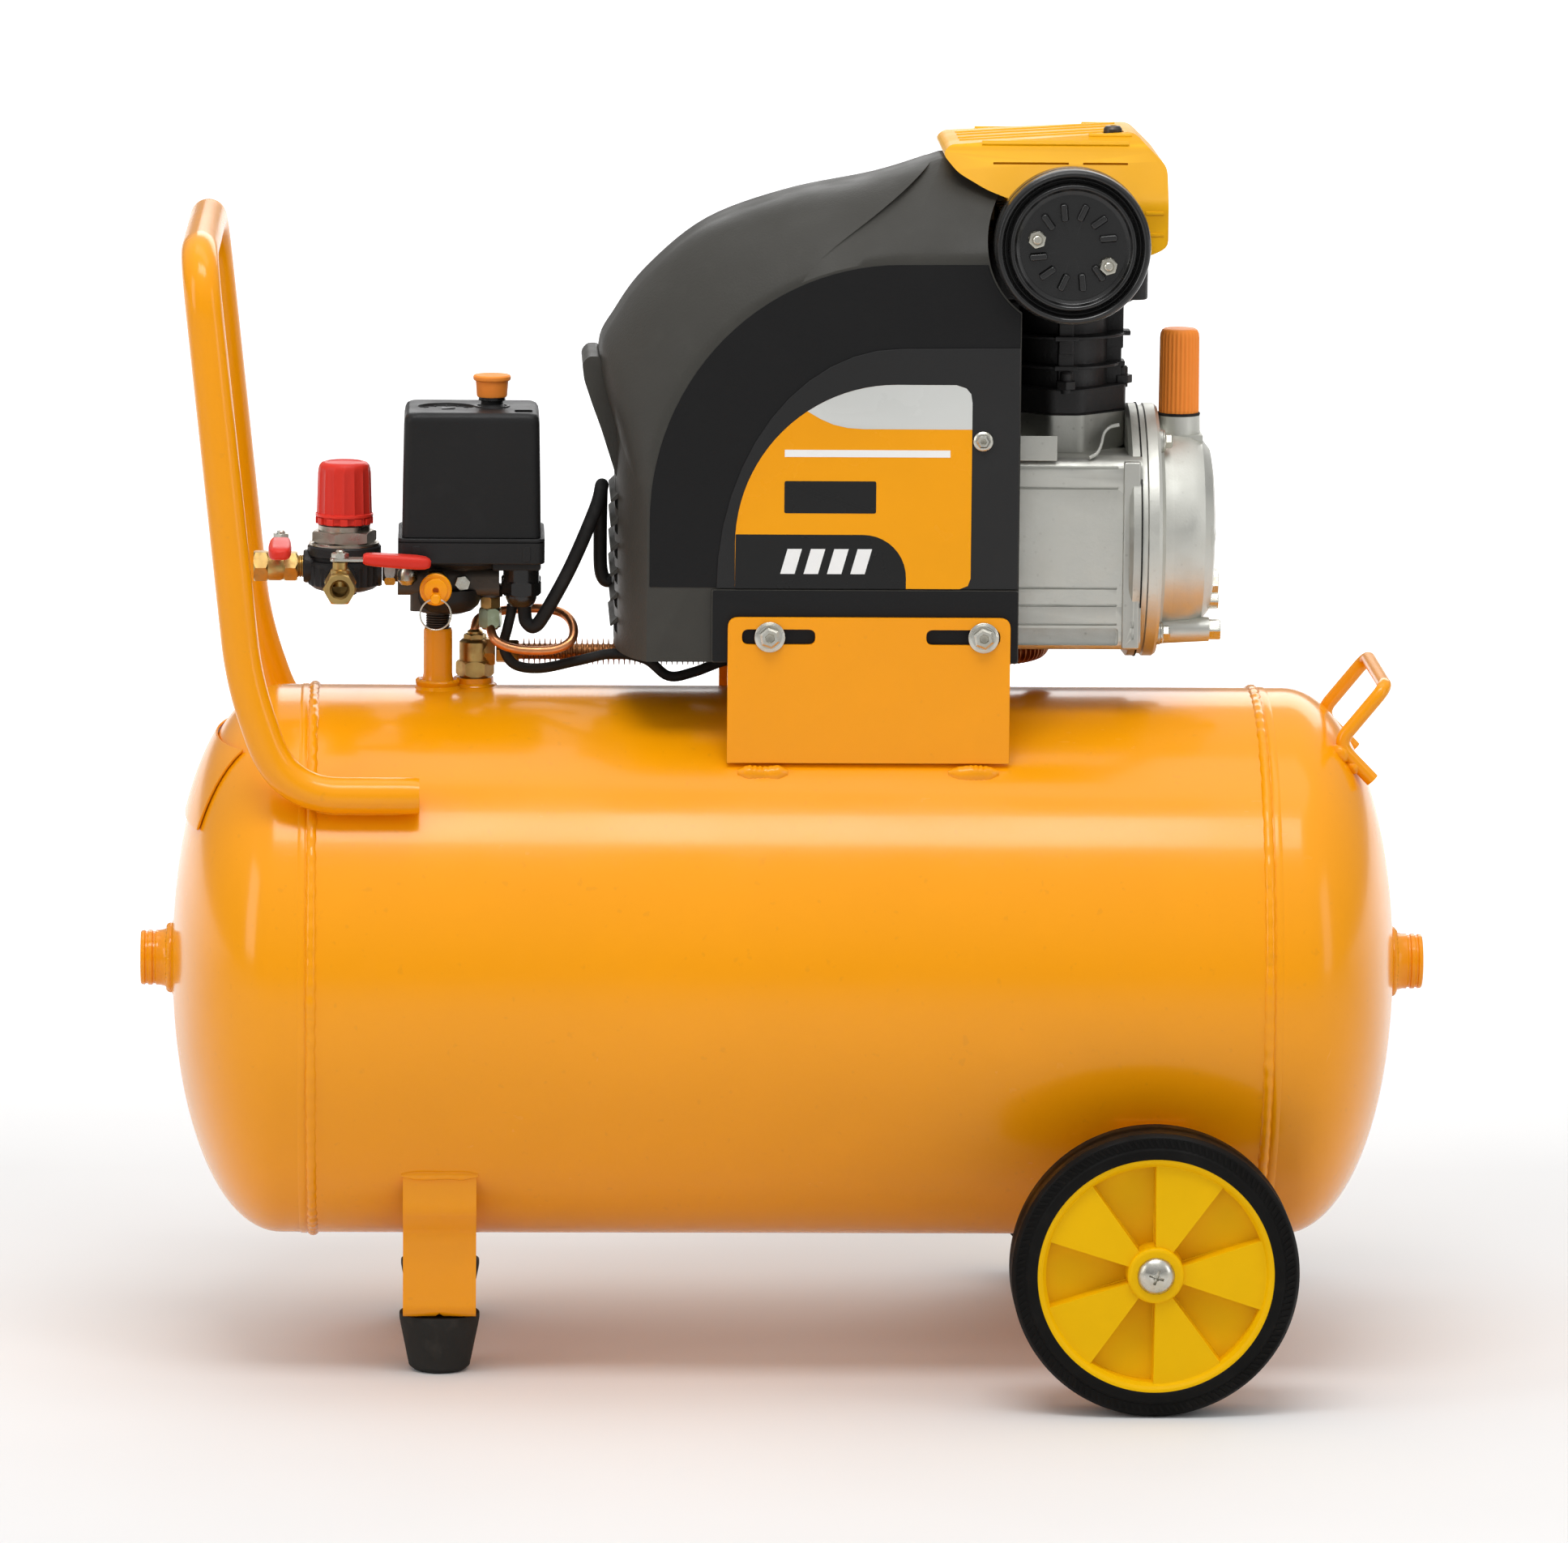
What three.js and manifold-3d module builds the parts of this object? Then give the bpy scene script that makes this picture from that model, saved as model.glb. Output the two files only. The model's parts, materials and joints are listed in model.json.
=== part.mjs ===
// A portable piston air compressor: a lying tank on two wheels and two feet, with the motor and
// pump on top. Millimetres; X runs along the tank, Y to the rear, Z up, and the floor is z = 0.
import * as THREE from 'three';
import { mergeVertices } from 'three/addons/utils/BufferGeometryUtils.js';
import Module from 'manifold-3d';

const wasm = await Module();
wasm.setup();

// Driving dimensions.
const GAP = 0.3; // between pieces that touch
const PLATE = 3; // sheet steel of the tank and brackets
const TANK_RADIUS = 155.5;
const TANK_Z = 221.5;
const SEAM_X = 265; // where the shell meets the pressed ends
const KNUCKLE_X = 283;
const DOME_X = 346;
const BUNG_X = 364;
const HANDLE_Y = 123;
const HANDLE_TOP = 634;
const LEG_X = -194;
const STRAP_WIDTH = 41;
const LEG_HEIGHT = 33;
const FOOT_Y = 73;
const WHEEL_X = 201.5;
const WHEEL_RADIUS = 79.7;
const WHEEL_Y = 181;
const TYRE_HALF = 19;
const EAR_Y = 143;
const BRACKET_Y = 91;
const BRACKET_X = [-35, 122.5];
const BOLT_X = [-11.6, 107.5];
const BOLT_Z = 420;
const CRANK_Z = 469;
const PUMP_X = 155;
const THROW = 19; // crank radius: the stroke is twice this
const ROD_LENGTH = 95;
const BORE = 21.2;
const DECK_Z = 538.3; // top of the crankcase
const HEAD_Z = 603.9; // underside of the cylinder head
const SHROUD_Y = 88;
const SHROUD_RIGHT = 127;
const SHROUD_BOTTOM = 405;
const FILTER = [154.3, 639]; // x and z of the filter's axis
const PIPE_Y = 12;
const PIPE_Z = 396;
const RISER_X = -196.3;
const VALVE_X = -176;
const MANIFOLD_Z = 438.3;
const REGULATOR_X = -249.2;
const SWITCH_X = -177.6;
const UNLOADER_X = -166.8;
const OIL_X = 221;
const TANK_SIDES = 30;
const WHEEL_SIDES = 28;

const material = (color, roughness, metalness) =>
  new THREE.MeshStandardMaterial({ color, roughness, metalness });
const orangePaint = material(0xf5a522, 0.3, 0);
const yellowPlastic = material(0xf2b705, 0.4, 0);
const rubber = material(0x1d1d1e, 0.85, 0);
const blackPlastic = material(0x232425, 0.5, 0);
const charcoal = material(0x3a3c3e, 0.55, 0);
const zinc = material(0xc9cac6, 0.35, 1);
const steel = material(0xa9abad, 0.4, 1);
const castAluminium = material(0xb4b5b3, 0.5, 1);
const blackIron = material(0x1f2021, 0.6, 0.6);
const brass = material(0xb8964e, 0.35, 1);
const copper = material(0xb9713d, 0.3, 1);
const redPlastic = material(0xc9252b, 0.4, 0);
const orangePlastic = material(0xf28c28, 0.45, 0);
const glass = material(0xd9e2e0, 0.1, 0);

// One closed mesh with shared vertices and its faces pointing out.
function closed(geometry) {
  const bare = geometry.clone();
  bare.deleteAttribute('normal');
  bare.deleteAttribute('uv');
  const merged = mergeVertices(bare, 1e-3);
  const points = merged.attributes.position;
  const corners = [0, 1, 2].map(() => new THREE.Vector3());
  const kept = [];
  let volume = 0;
  for (let i = 0; i < merged.index.count; i += 3) {
    const [a, b, c] = [0, 1, 2].map((k) => merged.index.getX(i + k));
    if (a === b || b === c || c === a) continue;
    [a, b, c].forEach((v, k) => corners[k].fromBufferAttribute(points, v));
    volume += corners[0].dot(corners[1].clone().cross(corners[2]));
    kept.push(a, b, c);
  }
  merged.setIndex(volume < 0 ? kept.reverse() : kept);
  return merged;
}

function solid(geometry) {
  const mesh = closed(geometry);
  const vertProperties = new Float32Array(mesh.attributes.position.array);
  const triVerts = new Uint32Array(mesh.index.array);
  return new wasm.Manifold(new wasm.Mesh({ numProp: 3, vertProperties, triVerts }));
}

function geometryOf(body) {
  const mesh = body.getMesh();
  const geometry = new THREE.BufferGeometry();
  geometry.setAttribute('position', new THREE.BufferAttribute(mesh.vertProperties, 3));
  geometry.setIndex(new THREE.BufferAttribute(mesh.triVerts, 1));
  return geometry;
}

const join = (...all) => geometryOf(all.map(solid).reduce((a, b) => a.add(b)));
const cut = (from, ...tools) => geometryOf(tools.map(solid).reduce((a, b) => a.subtract(b), solid(from)));
const common = (...all) => geometryOf(all.map(solid).reduce((a, b) => a.intersect(b)));

// Turns a shape built around +Y so that its axis is x, y or z.
function alongAxis(geometry, axis) {
  if (axis === 'x') geometry.rotateZ(-Math.PI / 2);
  if (axis === 'z') geometry.rotateX(Math.PI / 2);
  return geometry;
}

const box = (x0, x1, y0, y1, z0, z1) =>
  new THREE.BoxGeometry(x1 - x0, y1 - y0, z1 - z0)
    .translate((x0 + x1) / 2, (y0 + y1) / 2, (z0 + z1) / 2);

// A round bar along an axis, from one place on that axis to another; 6 sides make a hexagon.
function bar(axis, radius, from, to, at = [0, 0, 0], sides = 16) {
  const length = Math.abs(to - from);
  const geometry = new THREE.CylinderGeometry(radius, radius, length, sides);
  geometry.translate(0, (from + to) / 2, 0);
  return alongAxis(geometry, axis).translate(...at);
}

// A turned solid: pairs of radius and place along the axis, closed back to the first pair.
function turned(axis, profile, at = [0, 0, 0], sides = 20) {
  const points = [...profile, profile[0]].map(([r, s]) => new THREE.Vector2(r, s));
  return alongAxis(new THREE.LatheGeometry(points, sides), axis).translate(...at);
}

const polygon = (points) => new THREE.Shape(points.map(([a, b]) => new THREE.Vector2(a, b)));

function roundedRectangle(a0, a1, b0, b1, radius) {
  const shape = new THREE.Shape();
  const corners = [[a1, b0, 1.5], [a1, b1, 0], [a0, b1, 0.5], [a0, b0, 1]];
  for (const [a, b, turn] of corners) {
    const centreA = a === a1 ? a1 - radius : a0 + radius;
    const centreB = b === b1 ? b1 - radius : b0 + radius;
    shape.absarc(centreA, centreB, radius, turn * Math.PI, (turn + 0.5) * Math.PI, false);
  }
  return shape;
}

// An outline pushed along an axis: x takes (y, z), y takes (x, z) and z takes (x, y).
function pushed(axis, shape, from, to, curveSegments = 2) {
  const depth = to - from;
  const geometry = new THREE.ExtrudeGeometry(shape, { depth, bevelEnabled: false, curveSegments });
  const [ex, ey, ez] = [[1, 0, 0], [0, 1, 0], [0, 0, 1]].map((v) => new THREE.Vector3(...v));
  const basis = new THREE.Matrix4();
  if (axis === 'x') basis.makeBasis(ey, ez, ex);
  if (axis === 'y') basis.makeBasis(ex, ez, ey.clone().negate());
  geometry.applyMatrix4(basis);
  if (axis === 'x') geometry.translate(from, 0, 0);
  if (axis === 'y') geometry.translate(0, to, 0);
  if (axis === 'z') geometry.translate(0, 0, from);
  return geometry;
}

function tubeAlong(path, radius, steps, sides) {
  const section = new THREE.Shape();
  section.absarc(0, 0, radius, 0, Math.PI * 2, false);
  return new THREE.ExtrudeGeometry(section, {
    steps,
    extrudePath: path,
    curveSegments: sides / 2,
    bevelEnabled: false,
  });
}

const smooth = (points) =>
  new THREE.CatmullRomCurve3(points.map((p) => new THREE.Vector3(...p)), false, 'catmullrom', 0.5);

// Straight runs between corners, each corner rounded off this far back along both runs.
function bentPath(points, radius) {
  const path = new THREE.CurvePath();
  const corners = points.map((p) => new THREE.Vector3(...p));
  let start = corners[0];
  for (let i = 1; i < corners.length - 1; i += 1) {
    const before = corners[i].clone().sub(corners[i - 1]).setLength(radius[i - 1]);
    const after = corners[i + 1].clone().sub(corners[i]).setLength(radius[i - 1]);
    const enter = corners[i].clone().sub(before);
    const leave = corners[i].clone().add(after);
    path.add(new THREE.LineCurve3(start, enter));
    path.add(new THREE.QuadraticBezierCurve3(enter, corners[i], leave));
    start = leave;
  }
  path.add(new THREE.LineCurve3(start, corners.at(-1)));
  return path;
}

// A skin through matching convex outlines, with flat ends.
function loft(sections) {
  const count = sections[0].length;
  const positions = sections.flat(2);
  const index = [];
  for (let s = 0; s < sections.length - 1; s += 1) {
    for (let i = 0; i < count; i += 1) {
      const next = (i + 1) % count;
      const [a, b] = [s * count + i, s * count + next];
      index.push(a, b, b + count, a, b + count, a + count);
    }
  }
  const last = (sections.length - 1) * count;
  for (let i = 1; i < count - 1; i += 1) {
    index.push(0, i + 1, i, last, last + i, last + i + 1);
  }
  const geometry = new THREE.BufferGeometry();
  geometry.setAttribute('position', new THREE.Float32BufferAttribute(positions, 3));
  geometry.setIndex(index);
  return geometry;
}

const compressor = new THREE.Group();

function add(name, geometry, finish, parent = compressor) {
  const mesh = new THREE.Mesh(closed(geometry), finish);
  mesh.name = name;
  parent.add(mesh);
  return mesh;
}

function groupAt(x, y, z, parent = compressor) {
  const group = new THREE.Group();
  group.position.set(x, y, z);
  parent.add(group);
  return group;
}

// ---- Tank ----

const onTank = (y) => Math.sqrt(TANK_RADIUS ** 2 - y ** 2);

// Radius of the pressed end at a distance from the tank's middle.
function domeRadius(x, inset = 0) {
  const t = Math.max(0, (x - KNUCKLE_X) / (DOME_X - inset - KNUCKLE_X));
  return (TANK_RADIUS - inset) * (1 - Math.min(1, t) ** 2.1) ** (1 / 2.1);
}

function tankShell() {
  const inner = TANK_RADIUS - PLATE;
  const ends = SEAM_X - GAP / 2;
  const shell = turned(
    'x',
    [[inner, -ends], [TANK_RADIUS, -ends], [TANK_RADIUS, ends], [inner, ends]],
    [0, 0, TANK_Z],
    TANK_SIDES,
  );
  const top = TANK_Z + TANK_RADIUS;
  const bottom = TANK_Z - TANK_RADIUS;
  const riserWeld = turned(
    'z',
    [[0, top - 5], [12.5, top - 5], [12.5, top], [9, top + 3], [0, top + 3]],
    [RISER_X, 0, 0],
    16,
  );
  const valveBung = bar('z', 11.2, top - 6, top + 4.5, [VALVE_X, PIPE_Y, 0]);
  const drainBung = bar('z', 11, bottom - 5, bottom + 6, [LEG_X, 0, 0], 16);
  return cut(
    join(shell, riserWeld, valveBung, drainBung),
    bar('z', 5, top - 12, top + 12, [RISER_X, 0, 0], 12),
    bar('z', 8, top - 12, top + 12, [VALVE_X, PIPE_Y, 0], 12),
    bar('z', 6, bottom - 12, bottom + 12, [LEG_X, 0, 0], 12),
  );
}

// A pressed end with its welded bung, built for the +X side.
function tankEnd() {
  const seam = SEAM_X + GAP / 2;
  const outerStops = [KNUCKLE_X, 306, 326, 339];
  const innerStops = [334, 312, KNUCKLE_X];
  const bungBore = 10.5;
  return turned(
    'x',
    [
      [TANK_RADIUS, seam],
      ...outerStops.map((x) => [domeRadius(x), x]),
      [21.5, 345.4],
      [15.7, 350.5],
      [15.2, BUNG_X],
      [bungBore, BUNG_X],
      [bungBore, DOME_X - PLATE],
      ...innerStops.map((x) => [domeRadius(x, PLATE), x]),
      [TANK_RADIUS - PLATE, seam],
    ],
    [0, 0, TANK_Z],
    TANK_SIDES,
  );
}

function endPlug() {
  const plug = bar('x', 10, 340, BUNG_X - 1, [0, 0, TANK_Z], 20);
  const socket = bar('x', 5, BUNG_X - 9, BUNG_X + 1, [0, 0, TANK_Z], 6);
  return cut(plug, socket);
}

add('tank_shell', tankShell(), orangePaint);
add('tank_end_right', tankEnd(), orangePaint);
add('end_plug_right', endPlug(), orangePaint);
const leftEnd = groupAt(0, 0, 0);
leftEnd.rotation.z = Math.PI;
add('tank_end_left', tankEnd(), orangePaint, leftEnd);
add('end_plug_left', endPlug(), orangePaint, leftEnd);

// ---- Handles ----

function pushHandle() {
  const side = [[-206, 334.6], [-281, 334.6], [-303, 398], [-328, HANDLE_TOP]];
  const front = side.map(([x, z]) => [x, -HANDLE_Y, z]);
  const rear = side.map(([x, z]) => [x, HANDLE_Y, z]).reverse();
  return tubeAlong(bentPath([...front, ...rear], [32, 24, 34, 34, 24, 32]), 10.3, 38, 8);
}

function liftHandle() {
  const side = 58;
  const points = [
    [329, -side, 335],
    [309, -side, 355.5],
    [335.5, -side, 388],
    [335.5, side, 388],
    [309, side, 355.5],
    [329, side, 335],
  ];
  const rod = tubeAlong(bentPath(points, [9, 9, 9, 9]), 4, 20, 8);
  const welds = [-side, side].map((y) => bar('z', 5.5, 335, 355, [312.5, y, 0], 8));
  const grown = turned(
    'x',
    [
      [0, 200],
      [TANK_RADIUS + GAP, 200],
      ...[KNUCKLE_X, 306, 326, 339].map((x) => [domeRadius(x) + GAP, x + GAP]),
      [0, DOME_X],
    ],
    [0, 0, TANK_Z],
    TANK_SIDES,
  );
  return cut(join(rod, ...welds), grown);
}

add('push_handle', pushHandle(), orangePaint);
add('lift_handle', liftHandle(), orangePaint);

// ---- Legs and feet ----

// A bent strap seen along the tank: its centre line given for one side and mirrored.
function strap(half, xMiddle, width) {
  const across = [...half, ...half.map(([y, z]) => [-y, z]).reverse()];
  const inner = across.map(([y, z], i) => {
    const before = across[Math.max(0, i - 1)];
    const after = across[Math.min(across.length - 1, i + 1)];
    const along = new THREE.Vector2(after[0] - before[0], after[1] - before[1]).normalize();
    return [y + along.y * PLATE, z - along.x * PLATE];
  });
  const shape = polygon([...across, ...inner.reverse()]);
  return pushed('x', shape, xMiddle - width / 2, xMiddle + width / 2);
}

function legBracket() {
  const side = [
    [117, 121.5],
    [115, 98],
    [99, 82],
    [97, 38],
    [92, LEG_HEIGHT],
  ];
  const bent = strap(side, LEG_X, STRAP_WIDTH);
  const tankGrown = bar('x', TANK_RADIUS + GAP, -300, -100, [0, 0, TANK_Z], TANK_SIDES);
  const holes = [-FOOT_Y, FOOT_Y].map((y) => bar('z', 4, 20, 50, [LEG_X, y, 0], 12));
  return cut(bent, tankGrown, ...holes);
}

function foot() {
  const top = LEG_HEIGHT - GAP;
  const profile = [[0, 0], [15, 0], [16.5, 2], [22.6, top - 3], [22.6, top], [3.6, top], [3.6, 41], [0, 41]];
  return turned('z', profile, [0, 0, 0], 16);
}

function wheelBracket() {
  const side = [
    [EAR_Y + PLATE, 151],
    [EAR_Y + PLATE, 67],
    [EAR_Y - 5, 62],
  ];
  const bent = strap(side, WHEEL_X, STRAP_WIDTH);
  const tankGrown = bar('x', TANK_RADIUS + GAP, 100, 262, [0, 0, TANK_Z], TANK_SIDES);
  const hole = bar('y', 6.5, -200, 200, [WHEEL_X, 0, WHEEL_RADIUS], 16);
  return cut(bent, tankGrown, hole);
}

add('leg_bracket', legBracket(), orangePaint);
add('foot_front', foot(), rubber, groupAt(LEG_X, -FOOT_Y, 0));
add('foot_rear', foot(), rubber, groupAt(LEG_X, FOOT_Y, 0));
add('wheel_bracket', wheelBracket(), orangePaint);

// ---- Wheels: built with the outer face towards -Y ----

function tyre() {
  const inner = 65.5;
  const profile = [
    [inner, -TYRE_HALF],
    [75, -TYRE_HALF],
    [WHEEL_RADIUS, -TYRE_HALF + 6],
    [WHEEL_RADIUS, TYRE_HALF - 6],
    [75, TYRE_HALF],
    [inner, TYRE_HALF],
  ];
  return turned('y', profile, [0, 0, 0], WHEEL_SIDES);
}

function rim() {
  const outer = 65.2;
  const profile = [
    [6.6, -17.5],
    [14.5, -17.5],
    [14.5, -14.5],
    [59, -14.5],
    [60.5, -17.5],
    [outer, -17.5],
    [outer, 17],
    [60, 17],
    [58, -9],
    [14, -9],
    [14, 17],
    [6.6, 17],
  ];
  return turned('y', profile, [0, 0, 0], WHEEL_SIDES);
}

function axleBolt() {
  const inside = WHEEL_Y - EAR_Y; // the ear's inner face, seen from the wheel's middle
  return join(
    turned('y', [[0, -22], [6, -21.6], [10, -19.4], [10, -17.8], [0, -17.8]], [0, 0, 0], 14),
    bar('y', 6, -18, inside + 12, [0, 0, 0], 14),
    bar('y', 9, TYRE_HALF - 1.7, inside - PLATE - GAP, [0, 0, 0], 14),
    bar('y', 10.4, inside + GAP, inside + 9, [0, 0, 0], 6),
  );
}

for (const [name, side] of [['front', -1], ['rear', 1]]) {
  const wheel = groupAt(WHEEL_X, side * WHEEL_Y, WHEEL_RADIUS);
  wheel.rotation.z = side > 0 ? Math.PI : 0;
  add(`tyre_${name}`, tyre(), rubber, wheel);
  add(`wheel_rim_${name}`, rim(), yellowPlastic, wheel);
  add(`axle_bolt_${name}`, axleBolt(), zinc, wheel);
}

// ---- Motor bracket ----

function motorBracket() {
  const [left, right] = BRACKET_X;
  const foot = TANK_Z + onTank(BRACKET_Y) + 1.4;
  const face = roundedRectangle(left, right, foot, 431, 6);
  const plates = [-BRACKET_Y - PLATE, BRACKET_Y].map((y) => pushed('y', face, y, y + PLATE));
  const web = box(left + 6, right - 6, -BRACKET_Y - 1, BRACKET_Y + 1, 380, 380 + PLATE);
  const slots = [[-27, 13.7], [75.6, 116.7]].map(([from, to]) =>
    pushed('y', roundedRectangle(from, to, BOLT_Z - 4.2, BOLT_Z + 4.2, 4.1), -120, 120, 3));
  return cut(join(...plates, web), ...slots);
}

function bracketBolt() {
  return join(
    bar('y', 7.4, -100.3, -BRACKET_Y - PLATE - 1.9, [0, 0, 0], 6),
    bar('y', 9, -BRACKET_Y - PLATE - 2, -BRACKET_Y - PLATE - GAP, [0, 0, 0], 12),
    bar('y', 3.6, -97, -76, [0, 0, 0], 8),
  );
}

add('motor_bracket', motorBracket(), orangePaint);
for (const [row, turn] of [['front', 0], ['rear', Math.PI]]) {
  for (const [end, x] of [['left', BOLT_X[0]], ['right', BOLT_X[1]]]) {
    const place = groupAt(x, 0, BOLT_Z);
    place.rotation.z = turn;
    add(`bracket_bolt_${row}_${end}`, bracketBolt(), zinc, place);
  }
}

// ---- Pump: crankcase, crank, rod, piston, cylinder, head ----

// A square on its corner, with the corners cut off.
function diamond(reach, chop) {
  const [far, near] = [reach, chop];
  return polygon([
    [far, -near], [far, near], [near, far], [-near, far],
    [-far, near], [-far, -near], [-near, -far], [near, -far],
  ]);
}

function crankcase() {
  const axis = [0, 0, CRANK_Z];
  const chamber = box(112, 200, -62, 62, 408, 517);
  const neck = pushed('z', diamond(35, 9), 500, DECK_Z - GAP).translate(PUMP_X, 0, 0);
  const motorFrame = bar('x', 60.5, -52, 114, axis, 18);
  const flange = bar('x', 71.5, 195, 203.7, axis, 22);
  const lugs = BOLT_X.map((x) => box(x - 9, x + 9, -84.7, 84.7, 411, 429));
  return cut(
    join(chamber, neck, motorFrame, flange, ...lugs),
    bar('x', 50, 126, 210, axis, 20),
    bar('x', 56.5, -60, 112.5, axis, 18),
    bar('x', 12, 100, 130, axis, 16),
    bar('z', 27, 480, 560, [PUMP_X, 0, 0], 16),
    ...BOLT_X.flatMap((x) => [-1, 1].map((s) =>
      bar('y', 4, s * 74, s * 90, [x, 0, BOLT_Z], 8))),
  );
}

function stator() {
  const [outer, inner, coilOuter, coilInner] = [56, 33, 50, 37];
  return turned('x', [
    [inner, -30], [coilInner, -30], [coilInner, -46], [coilOuter, -46], [coilOuter, -30], [outer, -30],
    [outer, 40], [coilOuter, 40], [coilOuter, 56], [coilInner, 56], [coilInner, 40], [inner, 40],
  ], [0, 0, 0], 18);
}

function rotorShaft() {
  const shaft = turned('x', [[0, -86], [10, -86], [10, -30], [32.2, -30], [32.2, 40], [10, 40],
    [10, 129], [0, 129]], [0, 0, 0], 20);
  const web = new THREE.Shape();
  web.absarc(0, -THROW, 12, Math.PI, 2 * Math.PI, false);
  web.absarc(0, 0, 36, 0.14 * Math.PI, 0.86 * Math.PI, false);
  const pinEnd = PUMP_X - 7 - 0.4;
  return join(
    shaft,
    pushed('x', web, 128, 141, 5),
    bar('x', 8, 140, pinEnd, [0, 0, -THROW], 16),
  );
}

function coolingFan() {
  const hub = bar('x', 17, -84, -64, [0, 0, 0], 18);
  const disc = bar('x', 60, -66, -64, [0, 0, 0], 20);
  const blades = Array.from({ length: 9 }, (_, i) =>
    box(-82, -65, -1.2, 1.2, 14, 59).rotateX((i * 2 * Math.PI) / 9));
  return cut(join(hub, disc, ...blades), bar('x', 10.4, -100, -50, [0, 0, 0], 18));
}

function crankcaseCover() {
  const shell = turned('x', [
    [0, 236], [44, 236], [49, 231], [49, 204], [71.5, 204], [71.5, 208.6], [56, 210.5],
    [54, 231], [47, 240], [0, 240],
  ], [0, 0, CRANK_Z], 22);
  const boss = bar('z', 12, 519, 534.5, [OIL_X, 0, 0], 16);
  const bore = bar('z', 6.6, 505, 540, [OIL_X, 0, 0], 16);
  return cut(join(shell, boss), bore);
}

function sightGlass() {
  return turned('x', [[0, 240 + GAP], [9.5, 240 + GAP], [9.5, 244.5], [6.5, 244.5], [6.5, 243.5],
    [0, 243.5]], [0, 0, 438], 16);
}

function connectingRod() {
  const [smallEnd, bigEnd] = [9, 15];
  const shank = polygon([[-5, 0], [5, 0], [8, -ROD_LENGTH], [-8, -ROD_LENGTH]]);
  return cut(
    join(
      bar('x', smallEnd, -7, 7, [0, 0, 0], 14),
      bar('x', bigEnd, -7, 7, [0, 0, -ROD_LENGTH], 16),
      pushed('x', shank, -4, 4),
    ),
    bar('x', 5.6, -10, 10, [0, 0, 0], 12),
    bar('x', 8.4, -10, 10, [0, 0, -ROD_LENGTH], 14),
  );
}

function piston() {
  const wall = turned('z', [[0, 12], [16.5, 12], [16.5, -18], [20.7, -18], [20.7, 18], [0, 18]],
    [0, 0, 0], 18);
  return join(wall, bar('x', 5, -18, 18, [0, 0, 0], 12));
}

function cylinder() {
  const [base, top] = [DECK_Z, HEAD_Z - GAP];
  const fins = [[564, 34], [581, 37]];
  return cut(
    join(
      bar('z', 25.2, 530, top, [0, 0, 0], 18),
      pushed('z', diamond(35.5, 9), base, 554),
      ...fins.map(([z, radius]) => bar('z', radius, z - 1.5, z + 1.5, [0, 0, 0], 18)),
      bar('z', 40, 600.5, top, [0, 0, 0], 18),
    ),
    bar('z', BORE, 520, 620, [0, 0, 0], 18),
  );
}

function cylinderHead() {
  const outline = roundedRectangle(-45, 45, -46, 46, 8);
  const fins = [-28, -14, 0, 14, 28].map((y) => box(-38, 38, y - 2, y + 2, 634, 652));
  return join(pushed('z', outline, HEAD_Z, 636), ...fins);
}

// The plastic cover over the head: an upright outline met by a roof outline.
function coverBlock(inset) {
  const [left, right, top] = [84 + 2 * inset, 209 - inset, 697 - inset];
  const side = polygon(inset
    ? [[left, 600], [left, top - 10], [191, top], [right, top - 17], [right, 600]]
    : [[left, 685.5], [100, 671], [124, 662], [126, 631], [199, 631], [right, 636], [right, 679.4],
      [191.5, top], [88, 689.5]]);
  const [halfWidth, eaves, ridge] = [68 - inset, 660 - inset, 698 - inset];
  const roof = polygon([
    [-halfWidth, 590], [halfWidth, 590], [halfWidth, eaves], [44, ridge - 7], [28, ridge],
    [-28, ridge], [-44, ridge - 7], [-halfWidth, eaves],
  ]);
  return common(pushed('y', side, -80, 80), pushed('x', roof, 60, 230));
}

function headCover() {
  const [x, z] = FILTER;
  return cut(coverBlock(0), coverBlock(PLATE), bar('y', 12, -90, -50, [x, 0, z], 14));
}

function airFilter() {
  const profile = [
    [0, -103], [33, -103], [35, -101.5], [39, -101.5], [43.3, -97], [43.3, -76], [40, -70],
    [10.5, -70], [10.5, -46 - GAP], [0, -46 - GAP],
  ];
  return turned('y', profile, [FILTER[0], 0, FILTER[1]], 24);
}

// A cylinder with upright grip ribs, as on screw caps and knobs.
function ribbed(radius, depth, ribs, from, to) {
  const points = Array.from({ length: ribs * 4 }, (_, i) => {
    const angle = ((i + 0.5) * Math.PI) / (2 * ribs);
    const reach = i % 4 < 2 ? radius : radius - depth;
    return [reach * Math.cos(angle), reach * Math.sin(angle)];
  });
  return pushed('z', polygon(points), from, to);
}

function oilPlug() {
  return join(ribbed(11.4, 0.6, 12, 534.5 + GAP, 583.3), bar('z', 6, 514, 536, [0, 0, 0], 16));
}

const pumpAxis = groupAt(0, 0, CRANK_Z);
add('crankcase', crankcase(), castAluminium);
add('stator', stator(), copper, pumpAxis);
add('rotor_shaft', rotorShaft(), steel, pumpAxis);
add('cooling_fan', coolingFan(), blackPlastic, pumpAxis);
add('crankcase_cover', crankcaseCover(), castAluminium);
add('sight_glass', sightGlass(), glass);
const wristPin = groupAt(PUMP_X, 0, CRANK_Z - THROW + ROD_LENGTH);
add('connecting_rod', connectingRod(), castAluminium, wristPin);
add('piston', piston(), castAluminium, wristPin);
const bore = groupAt(PUMP_X, 0, 0);
add('cylinder', cylinder(), blackIron, bore);
add('cylinder_head', cylinderHead(), blackIron, bore);
add('head_cover', headCover(), yellowPlastic);
add('air_filter', airFilter(), blackPlastic);
add('oil_plug', oilPlug(), orangePlastic, groupAt(OIL_X, 0, 0));

// ---- Motor shroud ----

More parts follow.
